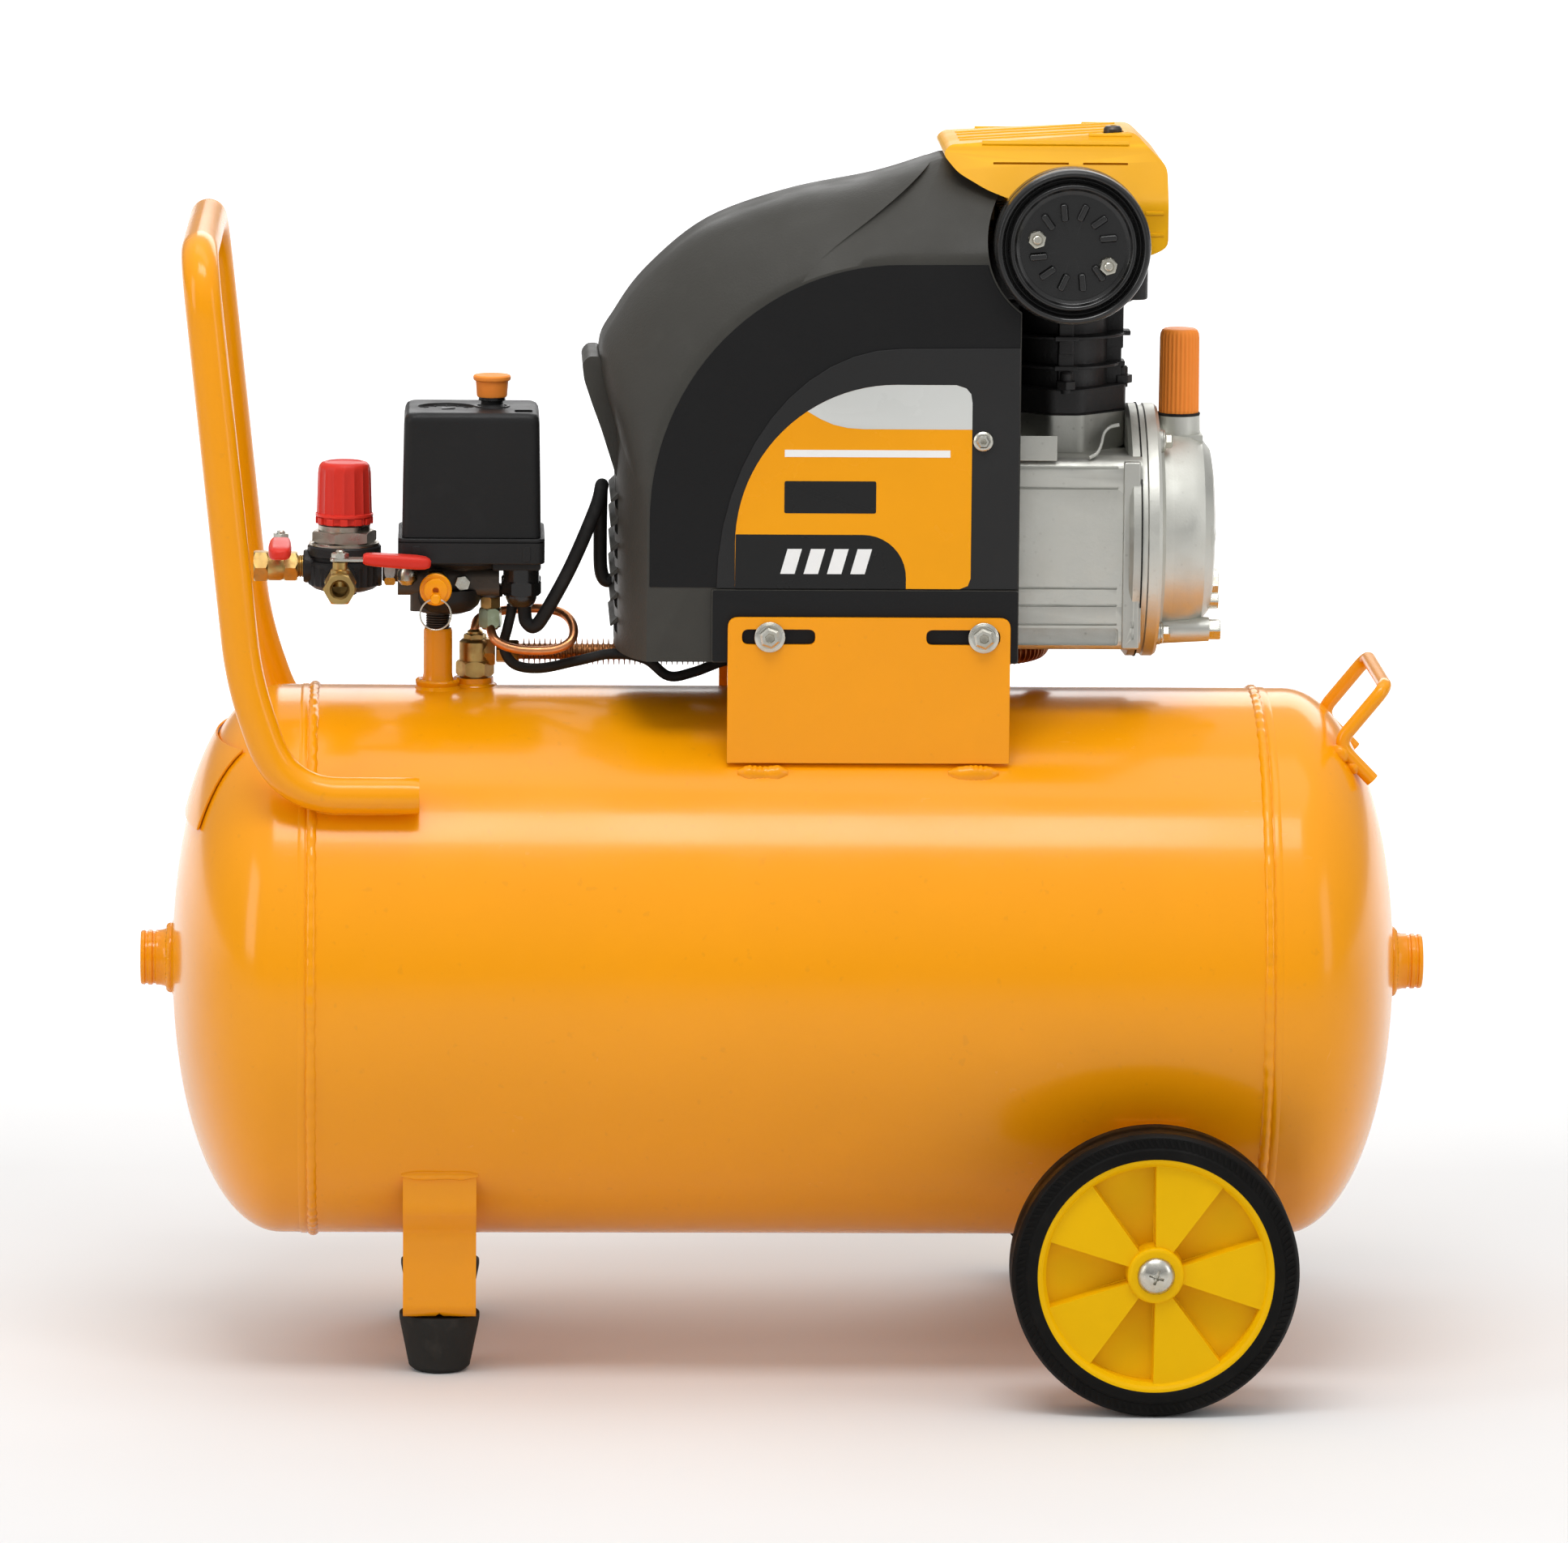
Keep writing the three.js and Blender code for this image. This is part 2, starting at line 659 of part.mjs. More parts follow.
// Upright outline of the hood: swell 0 is the flat front face, 1 the crown in the middle.
function hoodOutline(swell, inset, y) {
  const mix = (face, crown) => face + (crown - face) * swell;
  const left = mix(-80, -97) + inset;
  const spring = mix(485, 530);
  const topStart = mix(60, 85);
  const top = mix(629, 683) - inset;
  const power = 2 / mix(2, 2.2);
  const bottom = inset ? SHROUD_BOTTOM - 10 : SHROUD_BOTTOM;
  const right = inset ? SHROUD_RIGHT + 10 : SHROUD_RIGHT;
  const arc = Array.from({ length: 8 }, (_, i) => {
    const angle = (i * Math.PI) / 14;
    const x = topStart - (topStart - left) * Math.cos(angle) ** power;
    return [x, y, spring + (top - spring) * Math.sin(angle) ** power];
  });
  return [[left, y, bottom], ...arc, [right, y, top], [right, y, bottom]];
}

function hood(inset) {
  const flat = 20;
  const round = SHROUD_Y - inset - flat;
  const half = [3, 2, 1, 0].map((i) => {
    const angle = (i * Math.PI) / 6;
    return [flat + round * Math.sin(angle), Math.cos(angle)];
  });
  const rows = [...half.map(([y, swell]) => [-y, swell]), ...half.reverse()];
  return loft(rows.map(([y, swell]) => hoodOutline(swell, inset, y)));
}

function motorShroud() {
  const skirt = (side) => box(-44, SHROUD_RIGHT, side > 0 ? 86 : -90, side > 0 ? 90 : -86,
    SHROUD_BOTTOM, 446);
  const lip = pushed('y', polygon([[-96, 528], [-114, 565], [-107, 569], [-96, 556]]), -34, 34);
  const vents = Array.from({ length: 6 }, (_, i) =>
    box(-105, -90, -42, 42, 415 + i * 14, 421 + i * 14));
  const around = [[-0.6, 0], [0.6, 0], [0, -0.6], [0, 0.6]];
  const [x, z] = FILTER;
  return cut(
    join(hood(0), skirt(-1), skirt(1), lip),
    hood(PLATE),
    ...vents,
    bar('y', 46.5, -100, -50, [x, 0, z], 28),
    ...around.map(([dy, dz]) => coverBlock(0).translate(-0.4, dy, dz)),
    ...BOLT_X.map((bolt) => bar('y', 4.4, -100, 100, [bolt, 0, BOLT_Z], 8)),
  );
}

add('motor_shroud', motorShroud(), charcoal);

// ---- Pipework from the head to the tank ----

function checkValve() {
  const top = TANK_Z + TANK_RADIUS;
  const body = turned('z', [
    [0, top - 8], [7.4, top - 8], [7.4, top + 4.8], [10.8, top + 4.8], [10.8, top + 14],
    [8.6, top + 15], [8.6, top + 26], [6, top + 29], [0, top + 29],
  ], [VALVE_X, PIPE_Y, 0], 12);
  return join(body, bar('x', 8.4, VALVE_X, -163.8, [0, PIPE_Y, PIPE_Z], 6));
}

function deliveryPipe() {
  const start = [-163.8 + GAP, PIPE_Y, PIPE_Z];
  const path = smooth([
    start, [-120, PIPE_Y, PIPE_Z], [-40, PIPE_Y, PIPE_Z], [40, PIPE_Y, PIPE_Z],
    [110, PIPE_Y, PIPE_Z], [139, 26, 396.5], [147, 62, 398], [148, 86, 414], [147, 90, 450],
    [146, 90, 540], [145, 89, 592], [144, 76, 617], [143, 56, 620], [143, 46 + GAP, 620],
  ]);
  return tubeAlong(path, 7.2, 30, 8);
}

function unloaderTube() {
  const path = smooth([
    [UNLOADER_X, 0, 420.2], [UNLOADER_X, -0.2, 417.4], [-166.6, -4.5, 411.5], [-163, -11.5, 405],
    [-151, -12.5, 400.6], [-132, -11.5, 400.3], [-121.5, -9.5, 405], [-120, -2, 412.5], [-126, 8, 418.5],
    [-140, 14.5, 420.3], [-160, 16, 418.6], [-172.5, 15, 414.8], [VALVE_X, PIPE_Y, 409.5],
    [VALVE_X, PIPE_Y, 406.4],
  ]);
  return tubeAlong(path, 2.7, 32, 8);
}

add('check_valve', checkValve(), brass);
add('delivery_pipe', deliveryPipe(), copper);
add('unloader_tube', unloaderTube(), copper);

// ---- Riser, manifold and pressure switch ----

function riserPipe() {
  const foot = TANK_Z + TANK_RADIUS + 3 + GAP;
  return turned('z', [[4.5, foot], [8.2, foot], [8.2, 411], [6.5, 411], [6.5, 420], [4.5, 420]],
    [RISER_X, 0, 0], 16);
}

function manifold() {
  return join(
    box(-219, -161.8, -11, 11, 430.2, 446.4),
    box(-212, -183, -11, 11, 420.3, 431),
    bar('z', 8, 445, 451.7, [RISER_X, 0, 0], 16),
    bar('x', 7.2, -227.7, -218, [0, 0, MANIFOLD_Z + 5.5], 6),
    bar('z', 7.6, 420.6, 432, [UNLOADER_X, 0, 0], 6),
  );
}

function switchBase() {
  const plate = roundedRectangle(-41.2, 41.2, -37, 37, 5);
  const foot = pushed('z', plate, 452, 466.7).translate(SWITCH_X, 0, 0);
  const glands = box(-158.4, -139.3, -12, 12, 425, 453);
  return join(foot, glands);
}

function switchCover() {
  const [bottom, top] = [467, 537];
  const outer = pushed('z', roundedRectangle(-39, 39, -35, 35, 5), bottom, top);
  const inner = pushed('z', roundedRectangle(-36, 36, -32, 32, 3), bottom - 5, top - 3);
  const dial = bar('z', 15.4, top - 1.2, top + 5, [-14.4, 0, 0], 24);
  const stemHole = bar('z', 7.9, top - 10, top + 5, [11.3, 0, 0], 18);
  return cut(outer, inner, dial, stemHole).translate(SWITCH_X, 0, 0);
}

function switchKnob() {
  return turned('z', [[0, 520], [7.3, 520], [7.3, 541.5], [8.8, 542.5], [8.8, 551.5], [10.6, 552.5],
    [10.6, 555], [0, 555]], [0, 0, 0], 16);
}

add('riser_pipe', riserPipe(), orangePaint);
add('manifold', manifold(), blackIron);
add('switch_base', switchBase(), blackPlastic);
add('switch_cover', switchCover(), blackPlastic);
add('switch_knob', switchKnob(), orangePlastic, groupAt(SWITCH_X + 11.3, 0, 0));

// ---- Regulator, outlet valves and safety valve ----

function regulatorBody() {
  return turned('z', [
    [0, 430], [12, 430], [20.8, 434.5], [20.8, 459], [17.2, 461], [17.2, 470], [4.5, 470], [4.5, 480],
    [0, 480],
  ], [0, 0, 0], 18);
}

function regulatorKnob() {
  const knob = ribbed(15.6, 0.8, 14, 470 + GAP, 505.6);
  return cut(knob, bar('z', 5, 460, 481, [0, 0, 0], 16));
}

// A small ball valve along -Y from its threaded end, with its stem standing up.
function ballValve(stemAt, outletAt) {
  return cut(
    join(
      bar('y', 6.2, -3.5, 2, [0, 0, 0], 12),
      bar('y', 8.8, -10, -3, [0, 0, 0], 6),
      bar('y', 8.3, outletAt + 7, -9, [0, 0, 0], 12),
      bar('y', 9.2, outletAt, outletAt + 8, [0, 0, 0], 6),
      bar('z', 4, 0, 13.6, [0, stemAt, 0], 12),
    ),
    bar('y', 4.2, outletAt - 5, outletAt + 18, [0, 0, 0], 10),
  );
}

// A lever pointing along +X from its stem, with the nut that holds it.
function lever() {
  const tongue = pushed('z', roundedRectangle(-6, 18, -5, 5, 4.9), 0, 1.8);
  const grip = pushed('z', roundedRectangle(13, 51, -6.5, 6.5, 6.4), -2.5, 5);
  return join(tongue, grip, bar('z', 4.6, 1, 5, [0, 0, 0], 6));
}

function safetyValve() {
  return cut(
    join(
      bar('y', 7.5, -20, -11 - GAP, [0, 0, 0], 6),
      bar('y', 6.5, -38, -19, [0, 0, 0], 16),
      bar('y', 9, -45, -37, [0, 0, 0], 20),
      bar('y', 3, -54, -44, [0, 0, -4], 12),
    ),
    bar('x', 1.8, -5, 5, [0, -50, -4], 10),
  );
}

const splitRing = () => new THREE.TorusGeometry(8.7, 0.9, 6, 16).rotateX(Math.PI / 2);

// A pressure gauge facing +Y, its stem starting at y = 0.
function gauge(radius, stem) {
  const front = stem + 12;
  return turned('y', [
    [0, 0], [4.5, 0], [4.5, stem], [radius, stem], [radius, front], [radius - 2, front],
    [radius - 2, front - 4], [0, front - 4],
  ], [0, 0, 0], 16);
}

function gaugeNeedle(radius, stem) {
  const face = stem + 8;
  const pointer = box(-0.6, 0.6, face + 1, face + 1.8, 0, radius - 5).rotateY(Math.PI * 0.75);
  return join(bar('y', 2, face + GAP, face + 2.4, [0, 0, 0], 12), pointer);
}

const regulator = groupAt(REGULATOR_X, 0, 0);
add('regulator_body', regulatorBody(), blackIron, regulator);
add('regulator_knob', regulatorKnob(), redPlastic, regulator);

const frontValve = groupAt(-251, -23.3, 441);
add('front_valve_body', ballValve(-21.7, -39), brass, frontValve);
add('front_valve_lever', lever(), redPlastic, groupAt(0, -21.7, 14, frontValve));

const sideValve = groupAt(-272.6, 0, 445.9);
sideValve.rotation.z = -Math.PI / 2;
add('side_valve_body', ballValve(-12.3, -27.6), brass, sideValve);
add('side_valve_lever', lever(), redPlastic, groupAt(0, -12.3, 14, sideValve));

const safety = groupAt(-197.5, 0, MANIFOLD_Z);
add('safety_valve', safetyValve(), orangePlastic, safety);
add('safety_ring', splitRing(), zinc, groupAt(0, -50, -4 - 8.7, safety));

const tankGaugeAt = groupAt(-192.6, 11 + GAP, 435);
add('tank_gauge', gauge(20, 29), blackIron, tankGaugeAt);
add('tank_gauge_needle', gaugeNeedle(20, 29), blackPlastic, tankGaugeAt);
const outletGaugeAt = groupAt(REGULATOR_X, 20.8 + GAP, 443);
add('outlet_gauge', gauge(17, 4), blackIron, outletGaugeAt);
add('outlet_gauge_needle', gaugeNeedle(17, 4), blackPlastic, outletGaugeAt);

// ---- Drain under the tank ----

function drainValve() {
  const top = TANK_Z - TANK_RADIUS - 5;
  return cut(
    join(bar('z', 5.6, top - 2, top + 9, [0, 0, 0], 16), bar('z', 9, 49, top - GAP, [0, 0, 0], 6)),
    bar('z', 3.4, 40, 56, [0, 0, 0], 12),
    bar('z', 1.6, 40, 80, [0, 0, 0], 8),
  );
}

function drainScrew() {
  return join(
    bar('z', 3, 43, 55, [0, 0, 0], 12),
    bar('z', 6, 43, 46, [0, 0, 0], 12),
    bar('y', 2, -13, 13, [0, 0, 44.5], 10),
  );
}

const drain = groupAt(LEG_X, 0, 0);
add('drain_valve', drainValve(), brass, drain);
add('drain_screw', drainScrew(), brass, drain);

// ---- Leads between the switch and the motor ----

function motorLead() {
  const path = smooth([
    [-147.5, -5, 424.5], [-147.4, -5.1, 420.5], [-146.4, -6, 415.5], [-142, -7.5, 413], [-136, -8.5, 420.5],
    [-121.4, -10, 448], [-107.5, -9, 481], [-104.3, -3, 492.5], [-104.6, 5, 487],
    [-104.8, 10, 462], [-104.4, 11, 444], [-102, 11, 437.4], [-98.2, 11, 437],
  ]);
  return tubeAlong(path, 3.9, 26, 8);
}

function secondLead() {
  const path = smooth([
    [-154.6, 1, 424.5], [-154.8, 1, 420.5], [-157, 0.5, 411], [-159, -0.5, 400], [-153, -1.4, 390.5],
    [-138.4, -1.6, 388.4], [-118.3, -3, 392.7], [-97, -5, 397.4], [-79, -7, 394.5],
    [-66, -8, 385.2], [-52, -8, 387.4], [-36, -8, 393.5], [-22, -6.5, 397],
    [-15, -6, 405.2],
  ]);
  return tubeAlong(path, 2.9, 28, 8);
}

add('motor_lead', motorLead(), rubber);
add('second_lead', secondLead(), rubber);

export default compressor;
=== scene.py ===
"""The looks of a portable piston air compressor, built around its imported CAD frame.

Sizes are millimetres in the CAD's own frame (X along the tank, Y to the rear, Z up) and turn into metres
where a mesh is made. Each section makes one group of pieces, and each piece rides on its CAD body.
"""
import json
import math

import bmesh
import bpy
from mathutils import Matrix, Vector, noise


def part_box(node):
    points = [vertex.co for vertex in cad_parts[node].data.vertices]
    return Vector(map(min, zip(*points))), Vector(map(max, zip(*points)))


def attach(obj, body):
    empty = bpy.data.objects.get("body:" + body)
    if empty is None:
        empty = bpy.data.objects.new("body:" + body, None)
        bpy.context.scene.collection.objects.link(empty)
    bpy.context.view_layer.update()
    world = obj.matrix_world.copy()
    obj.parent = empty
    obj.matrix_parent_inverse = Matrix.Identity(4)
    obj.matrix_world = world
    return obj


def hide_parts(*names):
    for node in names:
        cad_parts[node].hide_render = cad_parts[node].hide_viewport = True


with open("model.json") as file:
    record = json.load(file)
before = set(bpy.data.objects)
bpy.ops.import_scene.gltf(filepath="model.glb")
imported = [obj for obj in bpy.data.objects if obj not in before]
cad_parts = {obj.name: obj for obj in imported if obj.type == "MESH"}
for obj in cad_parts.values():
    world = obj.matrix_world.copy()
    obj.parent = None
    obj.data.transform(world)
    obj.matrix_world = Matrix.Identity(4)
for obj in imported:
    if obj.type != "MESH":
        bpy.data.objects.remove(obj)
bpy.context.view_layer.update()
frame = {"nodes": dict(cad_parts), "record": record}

MM = 0.001
TAU = 2 * math.pi
ROOT = "compressor"
BODY_OF = {n: body for body, members in frame["record"]["behaviour"]["bodies"].items() for n in members}


def span(node):
    """Lowest and highest corner of a CAD node, in millimetres."""
    return [[v / MM for v in corner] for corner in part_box(node)]


def middle(node):
    low, high = span(node)
    return [(a + b) / 2 for a, b in zip(low, high)]


# ---- Camera ----

CAMERA_AZIMUTH = math.radians(-1.85)
CAMERA_RISE = math.radians(9)
CAMERA_ROLL = math.radians(0.5)
CAMERA_DISTANCE = 5.7  # metres
CAMERA_TARGET = Vector((0, 0, 0.3295))
LENS, SENSOR = 230.9, 36


def place_camera():
    data = bpy.data.cameras.new("camera")
    data.lens, data.sensor_width = LENS, SENSOR
    camera = bpy.data.objects.new("camera", data)
    bpy.context.collection.objects.link(camera)
    back = Vector((math.sin(CAMERA_AZIMUTH) * math.cos(CAMERA_RISE),
                   -math.cos(CAMERA_AZIMUTH) * math.cos(CAMERA_RISE), math.sin(CAMERA_RISE)))
    camera.location = CAMERA_TARGET + back * CAMERA_DISTANCE
    towards = (-back).to_track_quat("-Z", "Y").to_matrix().to_4x4()
    camera.rotation_euler = (towards @ Matrix.Rotation(CAMERA_ROLL, 4, "Z")).to_euler()
    bpy.context.scene.camera = camera


place_camera()


# ---- Mesh tools ----

ORDER = {  # two places across and one along an axis, put in x, y, z order
    "x": lambda a, b, s: (s, a, b),
    "y": lambda a, b, s: (a, s, b),
    "z": lambda a, b, s: (a, b, s),
}


def made(name, points, faces):
    """A mesh object from points in millimetres, with every face turned outwards."""
    mesh = bpy.data.meshes.new(name)
    mesh.from_pydata([Vector(p) * MM for p in points], [], faces)
    shape = bmesh.new()
    shape.from_mesh(mesh)
    bmesh.ops.remove_doubles(shape, verts=shape.verts, dist=1e-7)
    bmesh.ops.recalc_face_normals(shape, faces=shape.faces)
    shape.to_mesh(mesh)
    shape.free()
    obj = bpy.data.objects.new(name, mesh)
    bpy.context.collection.objects.link(obj)
    return obj


def blend_of(a, b, share):
    """From a to b by a share."""
    return a + (b - a) * share


def smooth_step(value):
    """0 below 0, 1 above 1, and a soft S between."""
    value = min(1.0, max(0.0, value))
    return value * value * (3 - 2 * value)


def curve(start, corner, end, steps):
    """A quadratic curve from start to end that heads for the corner between them."""
    return [start * (1 - t) ** 2 + corner * 2 * t * (1 - t) + end * t ** 2
            for t in (k / steps for k in range(steps + 1))]


def rounded(points, radius, closed=True, steps=3):
    """An outline with each corner replaced by a short curve that starts radius before it."""
    result = []
    count = len(points)
    for i, corner in enumerate(points):
        if not closed and i in (0, count - 1):
            result.append(tuple(corner))
            continue
        here = Vector(corner)
        before, after = Vector(points[i - 1]) - here, Vector(points[(i + 1) % count]) - here
        reach = min(radius, before.length * 0.45, after.length * 0.45)
        start, end = here + before.normalized() * reach, here + after.normalized() * reach
        result += [tuple(point) for point in curve(start, here, end, steps)]
    return result


def rectangle(a0, a1, b0, b1, radius=0.0, steps=5):
    corners = [(a0, b0), (a1, b0), (a1, b1), (a0, b1)]
    return rounded(corners, radius, steps=steps) if radius else corners


def disc(radius, count, start=0.0):
    turns = [start + TAU * i / count for i in range(count)]
    return [(radius * math.cos(t), radius * math.sin(t)) for t in turns]


def rings(name, rows, loop=False):
    """A closed skin through rows of points: a row of one point is a tip, and other end rows get a cap."""
    points, starts = [], []
    for row in rows:
        starts.append(len(points))
        points.extend(row)
    faces = []
    pairs = list(zip(range(len(rows) - 1), range(1, len(rows)))) + ([(len(rows) - 1, 0)] if loop else [])
    for s, e in pairs:
        count = max(len(rows[s]), len(rows[e]))
        for i in range(count):
            j = (i + 1) % count
            corners = [starts[s] + (i if len(rows[s]) > 1 else 0), starts[s] + (j if len(rows[s]) > 1 else 0),
                       starts[e] + (j if len(rows[e]) > 1 else 0), starts[e] + (i if len(rows[e]) > 1 else 0)]
            faces.append(list(dict.fromkeys(corners)))
    if not loop:
        for s in (0, len(rows) - 1):
            if len(rows[s]) > 2:
                faces.append([starts[s] + i for i in range(len(rows[s]))])
    return made(name, points, faces)


def row_of(axis, outline, s, at):
    """A flat outline as points in space, at the place s along an axis."""
    return [tuple(p + o for p, o in zip(ORDER[axis](a, b, s), at)) for a, b in outline]


def turned(name, axis, profile, at=(0, 0, 0), sides=64, soften=0.0, ring=False):
    """A turned solid. Each pair of the profile is a radius and a place along the axis.

    With ring the profile closes on itself, clear of the axis.
    """
    if soften:
        profile = rounded(profile, soften, closed=ring)
    rows = [row_of(axis, disc(radius, sides) if radius > 1e-6 else [(0, 0)], s, at) for radius, s in profile]
    return rings(name, rows, loop=ring)


def rod(name, axis, radius, start, end, at=(0, 0, 0), sides=64, soften=0.0):
    """A plain round bar."""
    profile = [(0, start), (radius, start), (radius, end), (0, end)]
    return turned(name, axis, profile, at, sides, soften)


def sleeve(name, axis, bore, radius, start, end, at=(0, 0, 0), sides=64, soften=0.0):
    """A plain tube."""
    profile = [(bore, start), (radius, start), (radius, end), (bore, end)]
    return turned(name, axis, profile, at, sides, soften, ring=True)


def pushed(name, axis, outline, start, end, at=(0, 0, 0), soften=0.0, segments=2):
    """An outline pushed along an axis, its edges softened."""
    obj = rings(name, [row_of(axis, outline, s, at) for s in (start, end)])
    return bevelled(obj, soften, segments) if soften else obj


def block(name, x, y, z, soften=0.0, segments=2):
    return pushed(name, "z", rectangle(*x, *y), z[0], z[1], soften=soften, segments=segments)


def hexagon(radius, start=0.0):
    return disc(radius, 6, start=start)


def applied(obj):
    """Turns the object's modifiers into its own mesh."""
    graph = bpy.context.evaluated_depsgraph_get()
    mesh = bpy.data.meshes.new_from_object(obj.evaluated_get(graph))
    obj.modifiers.clear()
    obj.data = mesh
    return obj


def bevelled(obj, width, segments=2, angle=32):
    edge = obj.modifiers.new("soft_edges", "BEVEL")
    edge.width = width * MM
    edge.segments = segments
    edge.limit_method = "ANGLE"
    edge.angle_limit = math.radians(angle)
    edge.use_clamp_overlap = True
    return applied(obj)


def combined(obj, tools, operation):
    """A boolean of the object with each tool in turn; the tools are used up."""
    for tool in tools:
        step = obj.modifiers.new(operation.lower(), "BOOLEAN")
        step.operation = operation
        step.solver = "MANIFOLD"
        step.object = tool
        tool.hide_render = True
    applied(obj)
    for tool in tools:
        bpy.data.objects.remove(tool)
    return obj


def cut(obj, *tools):
    return combined(obj, tools, "DIFFERENCE")


def fused(obj, *others):
    return combined(obj, others, "UNION")


def gathered(name, objects):
    """Several closed solids kept as one object."""
    shape = bmesh.new()
    for obj in objects:
        shape.from_mesh(obj.data)
        bpy.data.objects.remove(obj)
    mesh = bpy.data.meshes.new(name)
    shape.to_mesh(mesh)
    shape.free()
    result = bpy.data.objects.new(name, mesh)
    bpy.context.collection.objects.link(result)
    return result


def moved(obj, matrix):
    obj.data.transform(matrix)
    return obj


def shifted(obj, x, y, z):
    return moved(obj, Matrix.Translation(Vector((x, y, z)) * MM))


def spun(obj, axis, degrees, at=(0, 0, 0)):
    centre = Matrix.Translation(Vector(at) * MM)
    return moved(obj, centre @ Matrix.Rotation(math.radians(degrees), 4, axis.upper()) @ centre.inverted())


def copied(name, obj):
    twin = bpy.data.objects.new(name, obj.data.copy())
    bpy.context.collection.objects.link(twin)
    return twin


def through(points, per_span=6):
    """A smooth line through points (Catmull-Rom, the ends carried straight on)."""
    knots = [Vector(p) for p in points]
    knots = [2 * knots[0] - knots[1], *knots, 2 * knots[-1] - knots[-2]]
    line = []
    for i in range(1, len(knots) - 2):
        a, b, c, d = knots[i - 1:i + 3]
        for k in range(per_span):
            t = k / per_span
            line.append(0.5 * (2 * b + (c - a) * t + (2 * a - 5 * b + 4 * c - d) * t * t
                               + (3 * b - a - 3 * c + d) * t ** 3))
    return [*line, knots[-2]]


def bent(points, backs, steps=10):
    """Straight runs whose corners are rounded off this far back along both runs."""
    knots = [Vector(p) for p in points]
    line = [knots[0]]
    for corner, before, after, reach in zip(knots[1:-1], knots, knots[2:], backs):
        start = corner + (before - corner).normalized() * reach
        end = corner + (after - corner).normalized() * reach
        line += curve(start, corner, end, steps)
    return [*line, knots[-1]]


def along(line, places):
    """Points on a line at these distances from its start."""
    result, walked, i = [], 0.0, 0
    for place in places:
        while i < len(line) - 2 and walked + (line[i + 1] - line[i]).length < place:
            walked += (line[i + 1] - line[i]).length
            i += 1
        step = (line[i + 1] - line[i]).length or 1.0
        result.append(line[i].lerp(line[i + 1], (place - walked) / step))
    return result


def length_of(line):
    return sum((b - a).length for a, b in zip(line, line[1:]))


def swept(name, line, radii, sides=20):
    """A round bar along a line, with one radius for each point or one for all."""
    line = [Vector(p) for p in line]
    radii = radii if isinstance(radii, list) else [radii] * len(line)
    last = len(line) - 1
    tangents = [(line[min(i + 1, last)] - line[max(i - 1, 0)]).normalized() for i in range(last + 1)]
    normal = tangents[0].orthogonal().normalized()
    rows = []
    for point, tangent, radius in zip(line, tangents, radii):
        normal = (normal - tangent * normal.dot(tangent)).normalized()
        side = tangent.cross(normal)
        rows.append([tuple(point + normal * a + side * b) for a, b in disc(radius, sides)])
    return rings(name, rows)


# A weld bead's section, half its width and its height being 1.
BEAD = [(-1, -0.8), (-0.8, 0.25), (-0.4, 0.85), (0, 1), (0.4, 0.85), (0.8, 0.25), (1, -0.8)]


def weld(name, line, outward, width, height, loop=False, seed=0.0):
    """A rippled bead lying on a surface: outward gives the surface's normal at each point of its line."""
    line = [Vector(p) for p in line]
    count = len(line)
    rows = []
    walked = 0.0
    for i, point in enumerate(line):
        ahead = line[(i + 1) % count] if loop else line[min(i + 1, count - 1)]
        behind = line[i - 1] if loop or i else line[0]
        tangent = (ahead - behind).normalized()
        up = outward(point).normalized()
        side = tangent.cross(up).normalized()
        # even ripples with slow swells over them
        ripple = 0.16 * math.sin(walked * 2.1
                                 + seed) + 0.35 * noise.noise(point * 0.11 + Vector((seed, 0, 0)))
        taper = 1.0 if loop else min(1.0, 0.35 + 3.5 * min(i, count - 1 - i) / count)
        half, tall = width / 2 * (1 + 0.5 * ripple) * taper, height * (1 + ripple) * taper
        rows.append([tuple(point + side * a * half + up * b * tall) for a, b in BEAD])
        walked += (ahead - point).length
    return rings(name, rows, loop=loop)


def fluted(radius, depth, count, power=1.0):
    """Angles and radii of a grip's section: count flutes cut depth into a round bar."""
    points = []
    for i in range(count * 8):
        angle = TAU * i / (count * 8)
        wave = (0.5 - 0.5 * math.cos(angle * count)) ** power
        points.append((angle, radius - depth * wave))
    return points


def grip(name, section, heights, at):
    """A ribbed bar standing on Z. Each height has how much smaller the section is, and how even its ribs."""
    widest = max(radius for _, radius in section)
    rows = []
    for s, smaller, even in heights:
        reach = [(angle, blend_of(radius, widest, even) - smaller) for angle, radius in section]
        rows.append([(at[0] + math.cos(angle) * r, at[1] + math.sin(angle) * r, at[2] + s)
                     for angle, r in reach])
    return rings(name, rows)


THREAD_DEPTH = 0.55


def thread(name, axis, radius, start, end, at, pitch=1.3):
    """Turned rings that read as a screw thread."""
    root = radius - THREAD_DEPTH
    profile = [(0, start)]
    count = int(abs(end - start) / pitch)
    step = (end - start) / count
    for i in range(count):
        profile += [(root, start + step * i), (radius, start + step * (i + 0.45)),
                    (radius, start + step * (i + 0.6))]
    profile += [(root, end), (0, end)]
    return turned(name, axis, profile, at, 32)


def nut(name, axis, radius, start, end, at, start_angle=0.0):
    """A hexagon nut with its corners turned off at both ends."""
    flats = pushed(name, axis, hexagon(radius, start_angle), start, end, at)
    chamfer = (end - start) * 0.16
    corners = turned("chamfer", axis, [
        (0, start), (radius * 0.88, start), (radius * 1.01, start + chamfer),
        (radius * 1.01, end - chamfer), (radius * 0.88, end), (0, end),
    ], at, 48)
    return combined(flats, [corners], "INTERSECT")


